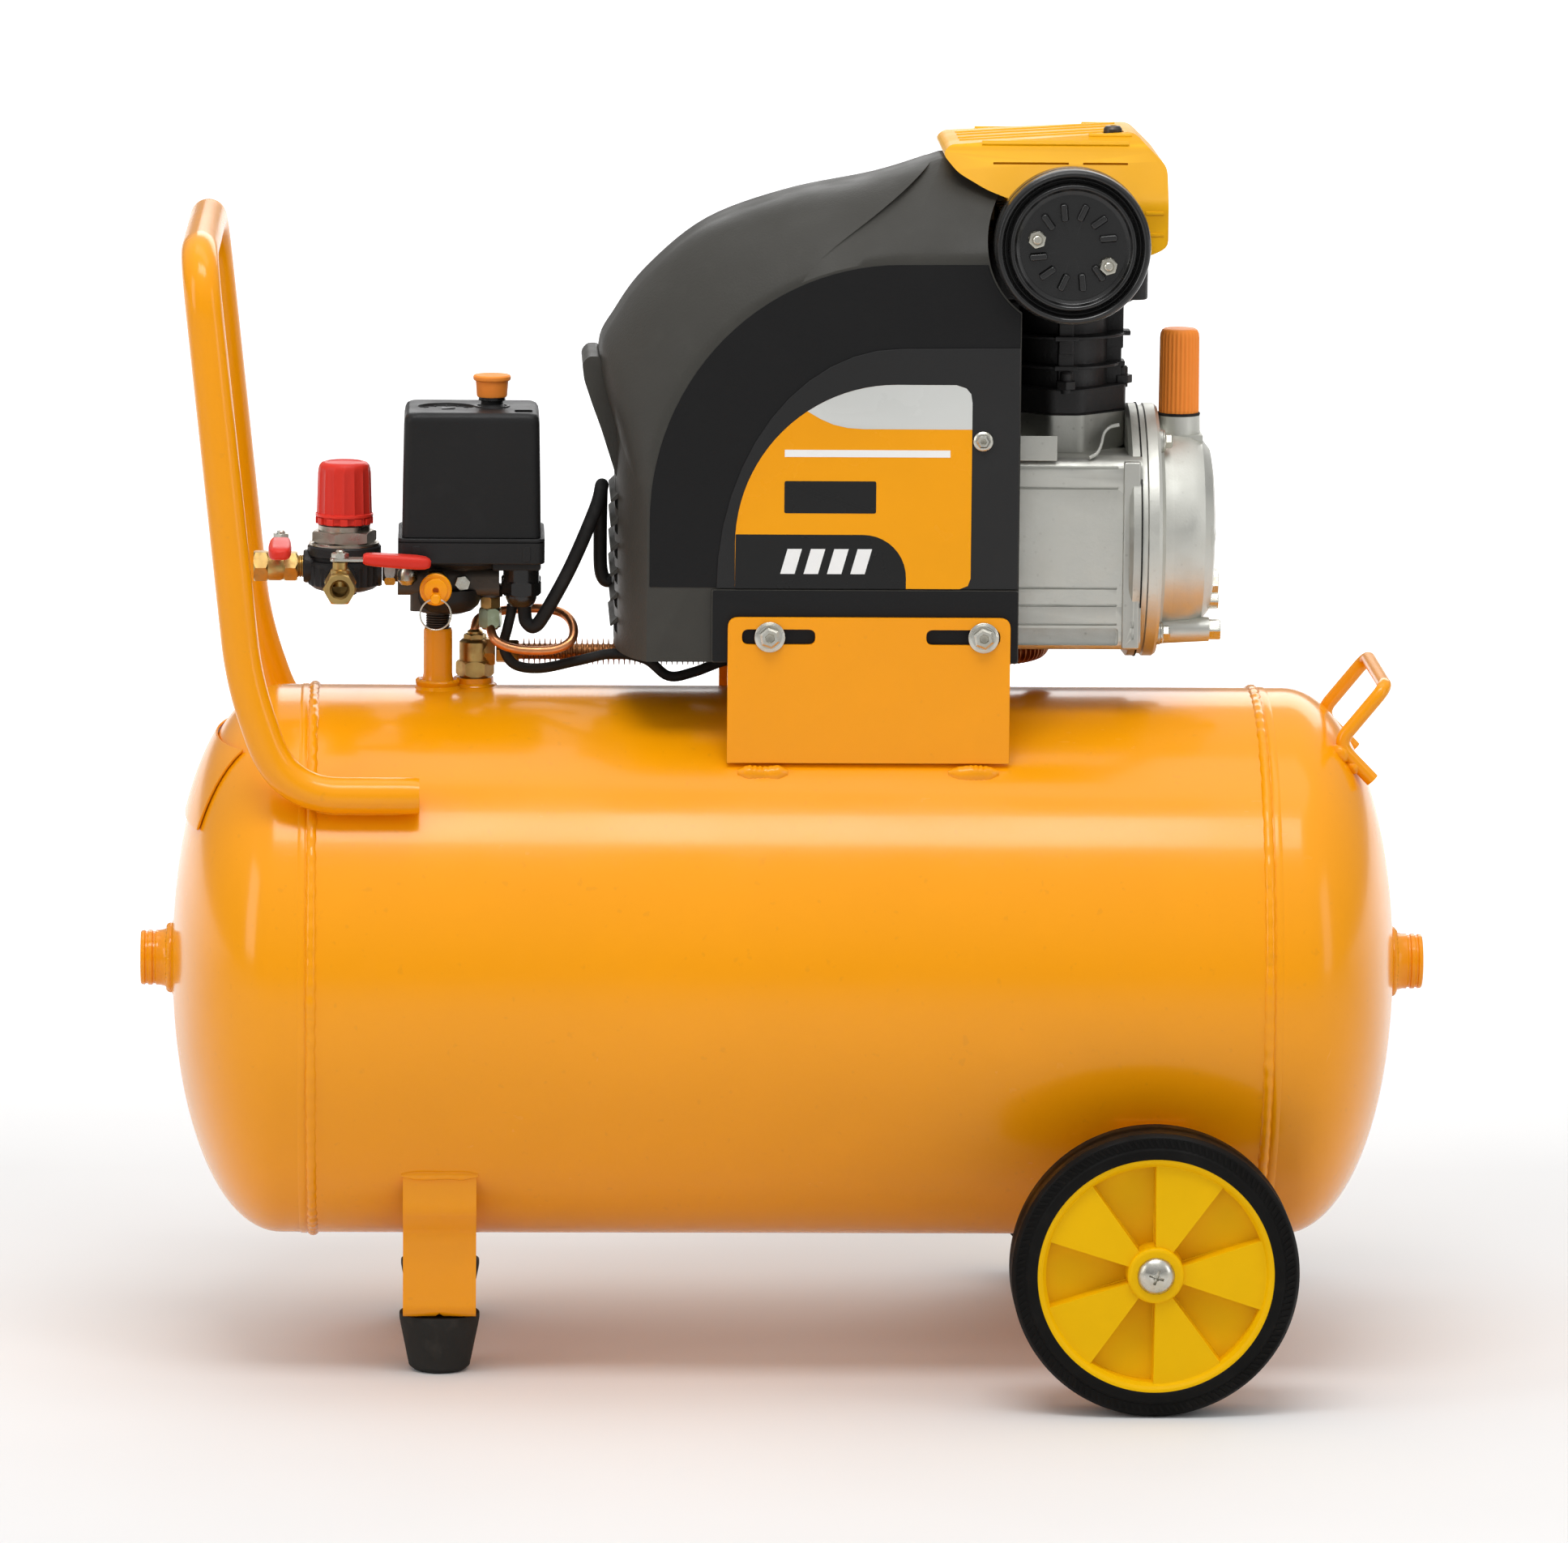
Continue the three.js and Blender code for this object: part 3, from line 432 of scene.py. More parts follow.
def flange_screw(name, axis, radius, at, out, head, length):
    """A hexagon screw with a flange: at is where the flange lands, out the way its head points."""
    flange = turned("flange", axis, [(0, 0), (radius, 0), (radius, out * 0.8), (radius * 0.78, out * 1.7),
                                     (0, out * 1.7)], at, 36, soften=0.3)
    top = out * (1 + head)
    dome = turned("dome", axis, [(0, out), (radius * 0.7, out), (radius * 0.7, top - out * 0.9),
                                 (radius * 0.55, top), (radius * 0.34, top), (radius * 0.28, top - out * 1.1),
                                 (0, top - out * 1.3)], at, 6)
    shank = rod("shank", axis, radius * 0.4, 0.2 * out, -out * length, at, 20)
    return gathered(name, [flange, dome, shank])


def smoothed(obj, angle=34):
    """Smooth shading that breaks at sharp edges and keeps large faces flat."""
    obj.data.shade_smooth()
    obj.data.set_sharp_from_angle(angle=math.radians(angle))
    weighting = obj.modifiers.new("flat_faces", "WEIGHTED_NORMAL")
    weighting.keep_sharp = True
    weighting.weight = 80
    return applied(obj)


def dressed(obj, body, material, angle=34):
    """Shades a piece, gives it its material, and lets it ride on a body."""
    smoothed(obj, angle)
    obj.data.materials.clear()
    obj.data.materials.append(material)
    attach(obj, body)
    return obj


def surface(node, obj, material, angle=34):
    """This piece shows in place of a CAD node and moves with it."""
    dressed(obj, BODY_OF[node], material, angle)
    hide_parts(node)
    return obj


# ---- Materials ----


class Finish:
    """A Principled material that layers are added to: tints, gloss changes and bumps."""

    def __init__(self, name, color, roughness, metallic=0.0, **constants):
        self.material = bpy.data.materials.new(name)
        self.material.use_nodes = True
        self.tree = self.material.node_tree
        self.shader = next(n for n in self.tree.nodes if n.type == "BSDF_PRINCIPLED")
        self.shader.inputs["Metallic"].default_value = metallic
        for label, value in constants.items():
            self.shader.inputs[label.replace("_", " ")].default_value = value
        self.color, self.roughness, self.normal = (*color, 1), roughness, None
        self.place = self.new("TexCoord").outputs["Object"]

    def new(self, kind, settings=None, **inputs):
        node = self.tree.nodes.new("ShaderNode" + kind)
        for key, value in (settings or {}).items():
            setattr(node, key, value)
        for key, value in inputs.items():
            self.feed(node.inputs[key.replace("_", " ")], value)
        return node

    def feed(self, socket, value):
        if isinstance(value, bpy.types.NodeSocket):
            self.tree.links.new(value, socket)
        else:
            socket.default_value = value

    def stretched(self, x=1.0, y=1.0, z=1.0):
        return self.new("Mapping", Vector=self.place, Scale=(x, y, z)).outputs[0]

    def noise(self, scale, detail=4.0, low=0.35, high=0.65, place=None):
        """Clouds, spread so that low gives 0 and high gives 1."""
        clouds = self.new("TexNoise", Vector=place or self.place, Scale=scale, Detail=detail)
        return self.ranged(clouds.outputs[0], low, high)

    def cells(self, scale, low, high):
        """Spots, one in each cell: the distance from the cell's middle, spread from low to high."""
        cell = self.new("TexVoronoi", Vector=self.place, Scale=scale)
        return self.ranged(cell.outputs["Distance"], low, high)

    def ranged(self, value, low, high, to_low=0.0, to_high=1.0):
        spread = self.new("MapRange", From_Min=low, From_Max=high, To_Min=to_low, To_Max=to_high)
        self.feed(spread.inputs["Value"], value)
        return spread.outputs[0]

    def maths(self, operation, a, b):
        node = self.new("Math", {"operation": operation})
        self.feed(node.inputs[0], a)
        self.feed(node.inputs[1], b)
        return node.outputs[0]

    def edges(self):
        """1 on convex edges, from the mesh's own pointiness."""
        return self.ranged(self.new("NewGeometry").outputs["Pointiness"], 0.52, 0.62)

    def hollows(self):
        """1 in concave corners."""
        return self.ranged(self.new("NewGeometry").outputs["Pointiness"], 0.48, 0.38)

    def facing(self, axis):
        """1 where the surface faces up an axis (0, 1 or 2), 0 where it faces down it."""
        split = self.new("SeparateXYZ", Vector=self.new("NewGeometry").outputs["Normal"])
        return self.ranged(split.outputs[axis], -1, 1)

    def coordinate(self, axis):
        return self.new("SeparateXYZ", Vector=self.place).outputs[axis]

    def scaled(self, amount, factor):
        return self.maths("MULTIPLY", amount, factor) if factor != 1 else amount

    def tint(self, color, amount, factor=1.0):
        """Moves the colour towards another one."""
        mix = self.new("Mix", {"data_type": "RGBA"})
        self.feed(mix.inputs[0], self.scaled(amount, factor))
        self.feed(mix.inputs[6], self.color)
        self.feed(mix.inputs[7], (*color, 1))
        self.color = mix.outputs[2]
        return self

    def gloss(self, roughness, amount, factor=1.0):
        """Moves the roughness towards a value."""
        mix = self.new("Mix", {"data_type": "FLOAT"})
        self.feed(mix.inputs[0], self.scaled(amount, factor))
        self.feed(mix.inputs[2], self.roughness)
        self.feed(mix.inputs[3], roughness)
        self.roughness = mix.outputs[0]
        return self

    def bump(self, height, depth, strength=1.0):
        node = self.new("Bump", Strength=strength, Distance=depth * MM, Height=height)
        if self.normal is not None:
            self.feed(node.inputs["Normal"], self.normal)
        self.normal = node.outputs[0]
        return self

    def done(self):
        self.feed(self.shader.inputs["Base Color"], self.color)
        self.feed(self.shader.inputs["Roughness"], self.roughness)
        if self.normal is not None:
            self.feed(self.shader.inputs["Normal"], self.normal)
        return self.material


def shade_of(color, factor):
    return tuple(min(1.0, channel * factor) for channel in color)


def enamel(name, color):
    """Sprayed gloss paint on steel: orange peel, faint runs, nibs, and painted shade in corners and on the
    undersides.
    """
    paint = Finish(name, color, 0.17, Coat_Weight=0.12, Coat_Roughness=0.06, Specular_IOR_Level=0.3)
    paint.tint(shade_of(color, 0.9), paint.noise(5, 3), 0.4)
    paint.tint(shade_of(color, 1.06), paint.noise(23, 5, 0.5, 0.75), 0.3)
    # painted shade: a darker copy of the paint colour in concave corners
    paint.tint(shade_of(color, 0.62), paint.hollows(), 0.5)
    # painted shade: the paint is darker on surfaces that face down
    paint.tint((color[0] * 0.75, color[1] * 0.6, color[2]), paint.ranged(paint.facing(2), 0.45, 0.05), 0.2)
    paint.tint((0.5, 0.2, 0.02), paint.noise(160, 2, 0.68, 0.74), 0.12)
    paint.gloss(0.24, paint.noise(12, 4))
    paint.gloss(0.34, paint.noise(90, 3, 0.6, 0.7, paint.stretched(1, 4, 0.3)), 0.4)
    paint.bump(paint.noise(16, 2, 0.2, 0.8), 0.25, 0.22)
    paint.bump(paint.noise(240, 2, 0.2, 0.8), 0.025, 0.5)
    paint.bump(paint.noise(420, 1, 0.7, 0.76), 0.04, 0.4)
    return paint.done()


def moulding(name, color, roughness, grain=1500, grain_depth=0.03, wear_and_highlight=1.5, **constants):
    """Injection-moulded plastic: spark-eroded grain, flow marks, edges lightened partly as rubbed wear and
    partly as a painted highlight, and painted shade in the hollows.
    """
    plastic = Finish(name, color, roughness, **{"Specular_IOR_Level": 0.2, **constants})
    plastic.tint(shade_of(color, 0.82), plastic.noise(9, 4), 0.5)
    plastic.tint(shade_of(color, wear_and_highlight), plastic.noise(60, 6, 0.55, 0.8), 0.18)
    # edges lighter: partly rubbed wear, partly a painted highlight
    plastic.tint(shade_of(color, wear_and_highlight * 1.3), plastic.edges(), 0.35)
    # painted shade: a darker copy of the colour in concave corners
    plastic.tint(shade_of(color, 0.55), plastic.hollows(), 0.4)
    plastic.gloss(roughness + 0.14, plastic.noise(35, 5))
    plastic.gloss(max(0.15, roughness - 0.15), plastic.edges(), 0.6)
    plastic.bump(plastic.noise(28, 2, 0.2, 0.8), 0.12, 0.25)
    plastic.bump(plastic.noise(grain, 3, 0.25, 0.75), grain_depth, 0.8)
    return plastic.done()


def rubber(name, color, roughness=0.72, dust=(0.16, 0.13, 0.1), specular=0.25):
    """Black rubber with a faint bloom, mould grain and dust that gathers in hollows."""
    soft = Finish(name, color, roughness, Specular_IOR_Level=specular)
    soft.tint(shade_of(color, 1.9), soft.noise(14, 5), 0.5)
    soft.tint(dust, soft.noise(85, 6, 0.52, 0.75), 0.2)
    soft.tint(dust, soft.hollows(), 0.25)
    soft.gloss(0.9, soft.noise(30, 4), 0.6)
    soft.bump(soft.noise(900, 3, 0.2, 0.8), 0.05, 0.7)
    return soft.done()


def casting(name, color, roughness, metallic=1.0, grain=620, depth=0.12, dirt=(0.16, 0.14, 0.12)):
    """Die-cast metal: blasted skin, cold-flow clouds, small pits, and bright edges that are partly rubbed
    wear and partly a painted highlight.
    """
    cast = Finish(name, color, roughness, metallic)
    cast.tint(shade_of(color, 0.78), cast.noise(11, 5), 0.5)
    cast.tint(shade_of(color, 1.25), cast.noise(48, 6, 0.55, 0.75), 0.35)
    cast.tint(dirt, cast.cells(150, 0.16, 0.05), 0.3)
    # edges brighter: partly rubbed wear, partly a painted highlight
    cast.tint(shade_of(color, 1.5), cast.edges(), 0.5)
    cast.tint(dirt, cast.hollows(), 0.45)
    cast.gloss(roughness + 0.16, cast.noise(70, 5))
    cast.bump(cast.noise(grain, 4, 0.2, 0.8), depth, 0.55)
    cast.bump(cast.cells(210, 0.1, 0.35), 0.05, 0.25)
    return cast.done()


def plated(name, color, roughness, tarnish, lines=(1, 1, 1)):
    """Plated or drawn metal: fine machining lines, brown tarnish, small scratches."""
    metal = Finish(name, color, roughness, 1.0)
    metal.tint(tarnish, metal.noise(90, 4, 0.42, 0.75), 0.5)
    metal.tint(shade_of(color, 0.6), metal.noise(260, 5, 0.55, 0.75), 0.4)
    metal.tint(shade_of(tarnish, 0.45), metal.hollows(), 0.6)
    metal.gloss(roughness + 0.18, metal.noise(180, 4))
    metal.bump(metal.noise(700, 3, 0.2, 0.8, metal.stretched(*lines)), 0.025, 0.6)
    return metal.done()


def lens_plastic():
    """A clear moulded window with faint haze."""
    lens = Finish("clear_lens", (0.9, 0.95, 0.93), 0.06, IOR=1.47, Transmission_Weight=1.0)
    lens.gloss(0.16, lens.noise(120, 3))
    lens.tint((0.75, 0.78, 0.7), lens.noise(60, 3), 0.3)
    return lens.done()


def printed(name, color, roughness, wear_and_highlight):
    """A printed field of the label."""
    return moulding(name, color, roughness, grain=300, grain_depth=0.004, wear_and_highlight=wear_and_highlight)


TANK_ORANGE = (0.93, 0.345, 0.001)
COVER_YELLOW = (0.78, 0.37, 0.001)
RIM_YELLOW = (0.88, 0.5, 0.0)
CHARCOAL = (0.05, 0.048, 0.042)

tank_paint = enamel("tank_enamel", TANK_ORANGE)
cover_plastic = moulding("cover_plastic", COVER_YELLOW, 0.36, grain=900, grain_depth=0.03, wear_and_highlight=1.12)
rim_plastic = moulding("rim_plastic", RIM_YELLOW, 0.38, grain=1300, grain_depth=0.02, wear_and_highlight=1.1,
                       Specular_IOR_Level=0.1)
shroud_plastic = moulding("shroud_plastic", CHARCOAL, 0.46, grain=700, grain_depth=0.1, wear_and_highlight=1.5)
panel_plastic = moulding("panel_plastic", (0.0075, 0.0075, 0.0078), 0.5, grain=900, grain_depth=0.05)
black_plastic = moulding("black_plastic", (0.015, 0.015, 0.0152), 0.4, grain=800, grain_depth=0.08, wear_and_highlight=2.0)
gloss_black = moulding("filter_black", (0.009, 0.009, 0.009), 0.16, grain=400, grain_depth=0.015, wear_and_highlight=2.2,
                       Specular_IOR_Level=0.5)
red_plastic = moulding("red_plastic", (0.66, 0.035, 0.022), 0.33, grain=600, grain_depth=0.03, wear_and_highlight=1.25)
orange_plastic = moulding("orange_plastic", (1.0, 0.29, 0.04), 0.42, grain=600, grain_depth=0.03, wear_and_highlight=1.12)
tyre_rubber = rubber("tyre_rubber", (0.0035, 0.0033, 0.003), 0.38, dust=(0.02, 0.018, 0.016), specular=0.12)
foot_rubber = rubber("foot_rubber", (0.02, 0.019, 0.017), 0.75, dust=(0.1, 0.09, 0.07))
sheath = rubber("sheath", (0.012, 0.012, 0.012), 0.42, dust=(0.08, 0.075, 0.07))
gasket = rubber("gasket", (0.008, 0.008, 0.008), 0.6)
cast_aluminium = casting("cast_aluminium", (0.52, 0.52, 0.48), 0.42)
black_iron = casting("black_iron", (0.019, 0.018, 0.018), 0.42, 0.35, grain=420, depth=0.22,
                     dirt=(0.05, 0.035, 0.03))
grey_iron = casting("grey_iron", (0.075, 0.062, 0.05), 0.45, 0.5, grain=420, depth=0.15)
zinc = plated("zinc", (0.6, 0.59, 0.53), 0.2, (0.46, 0.4, 0.26))
steel = plated("steel", (0.5, 0.5, 0.5), 0.32, (0.35, 0.33, 0.3), (1, 8, 8))
brass = plated("brass", (0.52, 0.36, 0.13), 0.28, (0.26, 0.17, 0.07))
copper = plated("copper", (0.78, 0.34, 0.15), 0.28, (0.45, 0.18, 0.08))
raised_plastic = moulding("raised_plastic", (0.019, 0.019, 0.0192), 0.48, grain=900, grain_depth=0.04)
dark_steel = plated("dark_steel", (0.08, 0.075, 0.07), 0.35, (0.14, 0.1, 0.07))
label_orange = printed("label_orange", (0.85, 0.32, 0.004), 0.3, 1.05)
label_silver = printed("label_silver", (0.55, 0.56, 0.54), 0.3, 1.05)
label_black = printed("label_black", (0.012, 0.012, 0.012), 0.32, 1.4)
label_white = printed("label_white", (0.8, 0.8, 0.78), 0.34, 1.02)
clear_lens = lens_plastic()
finned_copper = plated("finned_copper", (0.45, 0.19, 0.07), 0.34, (0.22, 0.1, 0.06))
winding = plated("winding", (0.62, 0.28, 0.12), 0.38, (0.35, 0.15, 0.07), (1, 40, 40))
green_zinc = plated("green_zinc", (0.4, 0.44, 0.32), 0.24, (0.2, 0.26, 0.12))
ring_zinc = plated("ring_zinc", (0.46, 0.42, 0.36), 0.26, (0.3, 0.25, 0.18))


# ---- Leads between the switch and the motor, on the routes of their CAD solids ----


def lead(node, radius, points):
    surface(node, swept(f"{node}_sheath", through(points, 8), radius, 18), sheath)


lead("motor_lead", 3.9, [
    (-147.5, -5, 424.5), (-147.4, -5.1, 420.5), (-146.4, -6, 415.5), (-142, -7.5, 413), (-136, -8.5, 420.5),
    (-121.4, -10, 448), (-107.5, -9, 481), (-104.3, -3, 492.5), (-104.6, 5, 487),
    (-104.8, 10, 462), (-104.4, 11, 444), (-102, 11, 437.4), (-98.2, 11, 437),
])
lead("second_lead", 2.9, [
    (-154.6, 1, 424.5), (-154.8, 1, 420.5), (-157, 0.5, 411), (-159, -0.5, 400), (-153, -1.4, 390.5),
    (-138.4, -1.6, 388.4), (-118.3, -3, 392.7), (-97, -5, 397.4), (-79, -7, 394.5),
    (-66, -8, 385.2), (-52, -8, 387.4), (-36, -8, 393.5), (-22, -6.5, 397), (-15, -6, 405.2),
])


# ---- Tank ----

end_low, end_high = span("tank_end_right")
TANK_R = (end_high[2] - end_low[2]) / 2
TANK_Z = (end_high[2] + end_low[2]) / 2
SEAM_X = end_low[0]
BUNG_X = end_high[0]
KNUCKLE_X, DOME_X = 283, 346
SHEET = 3  # the tank's wall
DOME_POWER = 2.1  # the domes are superellipses, a little fuller than an ellipse


def dome_radius(x):
    share = max(0.0, (x - KNUCKLE_X) / (DOME_X - KNUCKLE_X))
    return TANK_R * (1 - min(1.0, share) ** DOME_POWER) ** (1 / DOME_POWER)


def from_tank_axis(point):
    return Vector((0, point.y, point.z - TANK_Z))


def chord(away):
    """Half the tank's width at this distance from its axis."""
    return math.sqrt(TANK_R ** 2 - away ** 2)


def painted(obj, angle=60):
    """A piece of painted steel that has no CAD node of its own."""
    return dressed(obj, ROOT, tank_paint, angle)



def tank_shell():
    inner = TANK_R - SHEET
    profile = [(inner, -SEAM_X), (TANK_R, -SEAM_X), (TANK_R, SEAM_X), (inner, SEAM_X)]
    shell = turned("rolled_shell", "x", profile, (0, 0, TANK_Z), 192, soften=1.2, ring=True)
    surface("tank_shell", shell, tank_paint)
    ring = disc(TANK_R, 420)
    for side, name in ((-1, "left"), (1, "right")):
        x = side * (SEAM_X + 0.5)
        painted(weld(f"seam_weld_{name}", [(x, y, z + TANK_Z) for y, z in ring], from_tank_axis, 6.4, 1.5,
                     loop=True, seed=side))
        step = turned(f"seam_step_{name}", "x", [
            (TANK_R - 0.5, side * (SEAM_X + 3)), (TANK_R + 0.5, side * (SEAM_X + 4.2)),
            (TANK_R + 0.5, side * (SEAM_X + 7)), (TANK_R - 0.5, side * (SEAM_X + 9)),
        ], (0, 0, TANK_Z), 192, ring=True)
        painted(step)


def tank_end(side, name):
    """A domed end with its bung, weld and plug; side is -1 or 1."""
    stops = [KNUCKLE_X + (DOME_X - KNUCKLE_X) * math.sin(math.pi / 2 * i / 26) for i in range(26)]
    stops = [x for x in stops if dome_radius(x) > 22]
    outer = [(dome_radius(x), x) for x in stops]
    collar = [(21.5, 345.6), (18, 347.6), (16.2, 350.5), (15.6, 353), (15.6, 355.2), (14.9, 355.8),
              (14.9, 357), (15.6, 357.6), (15.6, 359.6), (14.9, 360.2), (14.9, 361.2), (15.5, 361.8),
              (15.3, BUNG_X - 0.6), (14.6, BUNG_X), (11.2, BUNG_X), (10.5, BUNG_X - 0.8), (10.5, 343)]
    inner = [(dome_radius(x) - SHEET, x - SHEET * 0.6) for x in reversed(stops)]
    profile = [(TANK_R, SEAM_X), *outer, *collar, *inner, (TANK_R - SHEET, SEAM_X)]
    profile = [(r, side * x) for r, x in profile]
    end = turned(f"pressed_end_{name}", "x", profile, (0, 0, TANK_Z), 192, ring=True)
    surface(f"tank_end_{name}", end, tank_paint, 40)
    ring = [(side * 347.2, y, TANK_Z + z) for y, z in disc(17.6, 90)]

    def outward(point):
        return Vector((side * 13.2, point.y, point.z - TANK_Z))

    painted(weld(f"bung_weld_{name}", ring, outward, 6.5, 2.2, loop=True, seed=3 + side))
    plug = rod(f"plug_{name}", "x", 10.1, side * 340, side * (BUNG_X - 1), (0, 0, TANK_Z), 48, soften=0.8)
    socket = pushed("socket", "x", hexagon(5), side * (BUNG_X - 9), side * (BUNG_X + 2), (0, 0, TANK_Z))
    surface(f"end_plug_{name}", cut(plug, socket), tank_paint)


COLLAR_X, COLLAR_Y = -176, 12  # the check valve's collar


def tank_fittings():
    """Weld collars of the riser, check valve and drain, and the small weld under the middle."""
    top, bottom = TANK_Z + TANK_R, TANK_Z - TANK_R
    riser_x, drain_x = middle("riser_pipe")[0], round(middle("drain_valve")[0], 3)
    bump_x = -22
    collars = [turned("a", "z", [(4.6, top - 3), (14.5, top - 2), (12.6, top + 0.6), (10, top + 2.4),
                                 (9, top + 4.2), (4.6, top + 4.2)], (riser_x, 0, 0), 48, ring=True),
               turned("b", "z", [(8.2, top - 4), (14.5, top - 3), (13, top + 0.5), (11.4, top + 1.4),
                                 (11.2, top + 4.4), (8.2, top + 4.4)], (COLLAR_X, COLLAR_Y, 0), 48,
                      ring=True), turned("c", "z", [(6.2, bottom + 3), (13.5, bottom + 3), (11, bottom - 2),
                                                    (11, bottom - 5), (6.2, bottom - 5)], (drain_x, 0, 0), 40,
                                         ring=True), turned("d", "z",
                                                            [(0, bottom - 1.2), (6, bottom - 0.8),
                                                             (11, bottom + 1), (0, bottom + 2)],
                                                            (bump_x, 0, 0), 32)]
    painted(gathered("tank_collars", collars), 50)


def data_plate():
    """A blank plate that stands just off the left end, between the push handle's legs."""
    across, up = range(-72, 73, 6), range(306, 352, 5)
    near, far = 0.7, 2.2  # how far the plate's two faces stand off the dome

    def point(y, z, lift):
        away = math.hypot(y, z - TANK_Z)
        depth = (1 - (away / TANK_R) ** DOME_POWER) ** (1 / DOME_POWER)
        out_x = depth ** (DOME_POWER - 1) / (DOME_X - KNUCKLE_X)
        out_r = (away / TANK_R) ** (DOME_POWER - 1) / TANK_R
        lift /= math.hypot(out_x, out_r)
        x = KNUCKLE_X + (DOME_X - KNUCKLE_X) * depth + lift * out_x
        return -x, y * (1 + lift * out_r / away), TANK_Z + (z - TANK_Z) * (1 + lift * out_r / away)

    plate = rings("data_plate", [[point(y, z, far) for z in up] + [point(y, z, near) for z in reversed(up)]
                                 for y in across])
    painted(bevelled(plate, 0.5), 34)


# ---- Handles ----


def handles():
    push_handle()
    lift_handle()


def mirrored(side, reach):
    """A line through the places of one side, across, and back through the other side's."""
    return [(x, -reach, z) for x, z in side] + [(x, reach, z) for x, z in reversed(side)]


def push_handle():
    foot_z, reach, radius, end_radius, parts = 334.6, 123, 10.3, 9.6, 220
    route = mirrored([(-206, foot_z), (-281, foot_z), (-303, 398), (-328, 634)], reach)
    line = bent(route, [32, 24, 34, 34, 24, 32], 14)
    total = length_of(line)
    line = along(line, [total * i / parts for i in range(parts + 1)])
    radii = [end_radius, *[radius] * (parts - 1), end_radius]
    surface("push_handle", swept("push_handle_tube", line, radii, 40), tank_paint, 40)
    for side, name in ((-1, "front"), (1, "rear")):
        for drop, where in ((-9.4, "under"), (8.6, "over")):
            depth = chord(foot_z + drop - TANK_Z)
            bead = [(x, side * (depth + 0.8), foot_z + drop) for x in range(-264, -205, 3)]
            if abs(depth - reach) < 14:
                painted(weld(f"handle_weld_{where}_{name}", bead, from_tank_axis, 6, 2.2, seed=drop))


def lift_handle():
    reach = 58
    line = bent(mirrored([(329, 335), (309, 355.5), (335.5, 388)], reach), [9] * 4)
    surface("lift_handle", swept("lift_handle_rod", line, 4, 28), tank_paint, 40)
    blobs = []
    for y in (-reach, reach):
        for x, z, size in ((311, 350, 6.5), (318, 343, 5.0)):
            blob = turned("blob", "z", [(0, -size), (size * 0.75, -size * 0.6), (size, 0),
                                        (size * 0.75, size * 0.55), (0, size * 0.8)], (0, 0, 0),
                          20, soften=1.5)
            for vertex in blob.data.vertices:
                vertex.co *= 1 + 0.16 * noise.noise(vertex.co * 240 + Vector((y, x, 0)))
            blobs.append(shifted(spun(blob, "y", 45), x, y, z))
    painted(gathered("lift_handle_welds", blobs))


# ---- Straps, feet and wheel ears ----


def strap(half, thickness, bend):
    """The outline of a bent strip seen along the tank, from one side's centre line to its mirror image."""
    across = [*half, *[(-y, z) for y, z in reversed(half)]]
    across = rounded(across, bend, closed=False, steps=4)
    inner = []
    for i, (y, z) in enumerate(across):
        before, after = across[max(0, i - 1)], across[min(len(across) - 1, i + 1)]
        run = Vector((after[0] - before[0], after[1] - before[1])).normalized()
        inner.append((y + run.y * thickness, z - run.x * thickness))
    return across + inner[::-1]


def leg_and_ears():
    """The bent straps that carry the feet and the wheels, and their welds."""
    low, high = span("leg_bracket")
    leg = pushed("leg_strap", "x", strap([(117, 121.5), (115, 98), (99, 82), (97, 38), (92, 33)], SHEET, 5),
                 low[0], high[0])
    middle_x = (low[0] + high[0]) / 2
    tank = rod("tank", "x", TANK_R - 0.8, -300, -100, (0, 0, TANK_Z), 192)
    notches = [pushed("notch", "y", [(middle_x - 5, 30), (middle_x, 36.2), (middle_x + 5, 30)], y - 12,
                      y + 12) for y in (-97, 97)]
    holes = [rod("hole", "z", 4, 20, 50, (middle_x, y, 0), 24) for y in (-73, 73)]
    surface("leg_bracket", bevelled(cut(leg, tank, *notches, *holes), 0.5), tank_paint)
    low, high = span("wheel_bracket")
    ears = pushed("wheel_strap", "x", strap([(146, 151), (146, 67), (138, 62)], SHEET, 4), low[0], high[0])
    wheel_x, wheel_z = middle("axle_bolt_front")[0], middle("tyre_front")[2]
    tank = rod("tank", "x", TANK_R - 0.8, 100, 262, (0, 0, TANK_Z), 192)
    hole = rod("hole", "y", 6.5, -200, 200, (wheel_x, 0, wheel_z), 32)
    surface("wheel_bracket", bevelled(cut(ears, tank, hole), 0.5), tank_paint)
    for node, z, height, seed in (("leg_bracket", span("leg_bracket")[1][2] + 0.6, 2.4, 117),
                                  ("wheel_bracket", 147, 1.0, 146)):
        low, high = span(node)
        for side, name in ((-1, "front"), (1, "rear")):
            y = side * (chord(z - TANK_Z) + 0.4)
            line = [(low[0] - 1 + (high[0] - low[0] + 2) * i / 16, y, z) for i in range(17)]
            painted(weld(f"{node}_weld_{name}", line, from_tank_axis, 7, height, seed=seed))


def foot(node):
    x, y, _ = middle(node)
    profile = [(0, 1.2), (9, 1.2), (9.4, 0), (14.6, 0), (17.2, 2.2), (22.2, 27), (22.6, 29.5), (22.6, 32.5),
               (8, 32.6), (3.7, 32.7), (3.7, 41), (0, 41)]
    surface(node, turned(f"{node}_rubber", "z", profile, (x, y, 0), 72, soften=0.6), foot_rubber)


# ---- Wheels ----

TYRE_R = (span("tyre_front")[1][2] - span("tyre_front")[0][2]) / 2


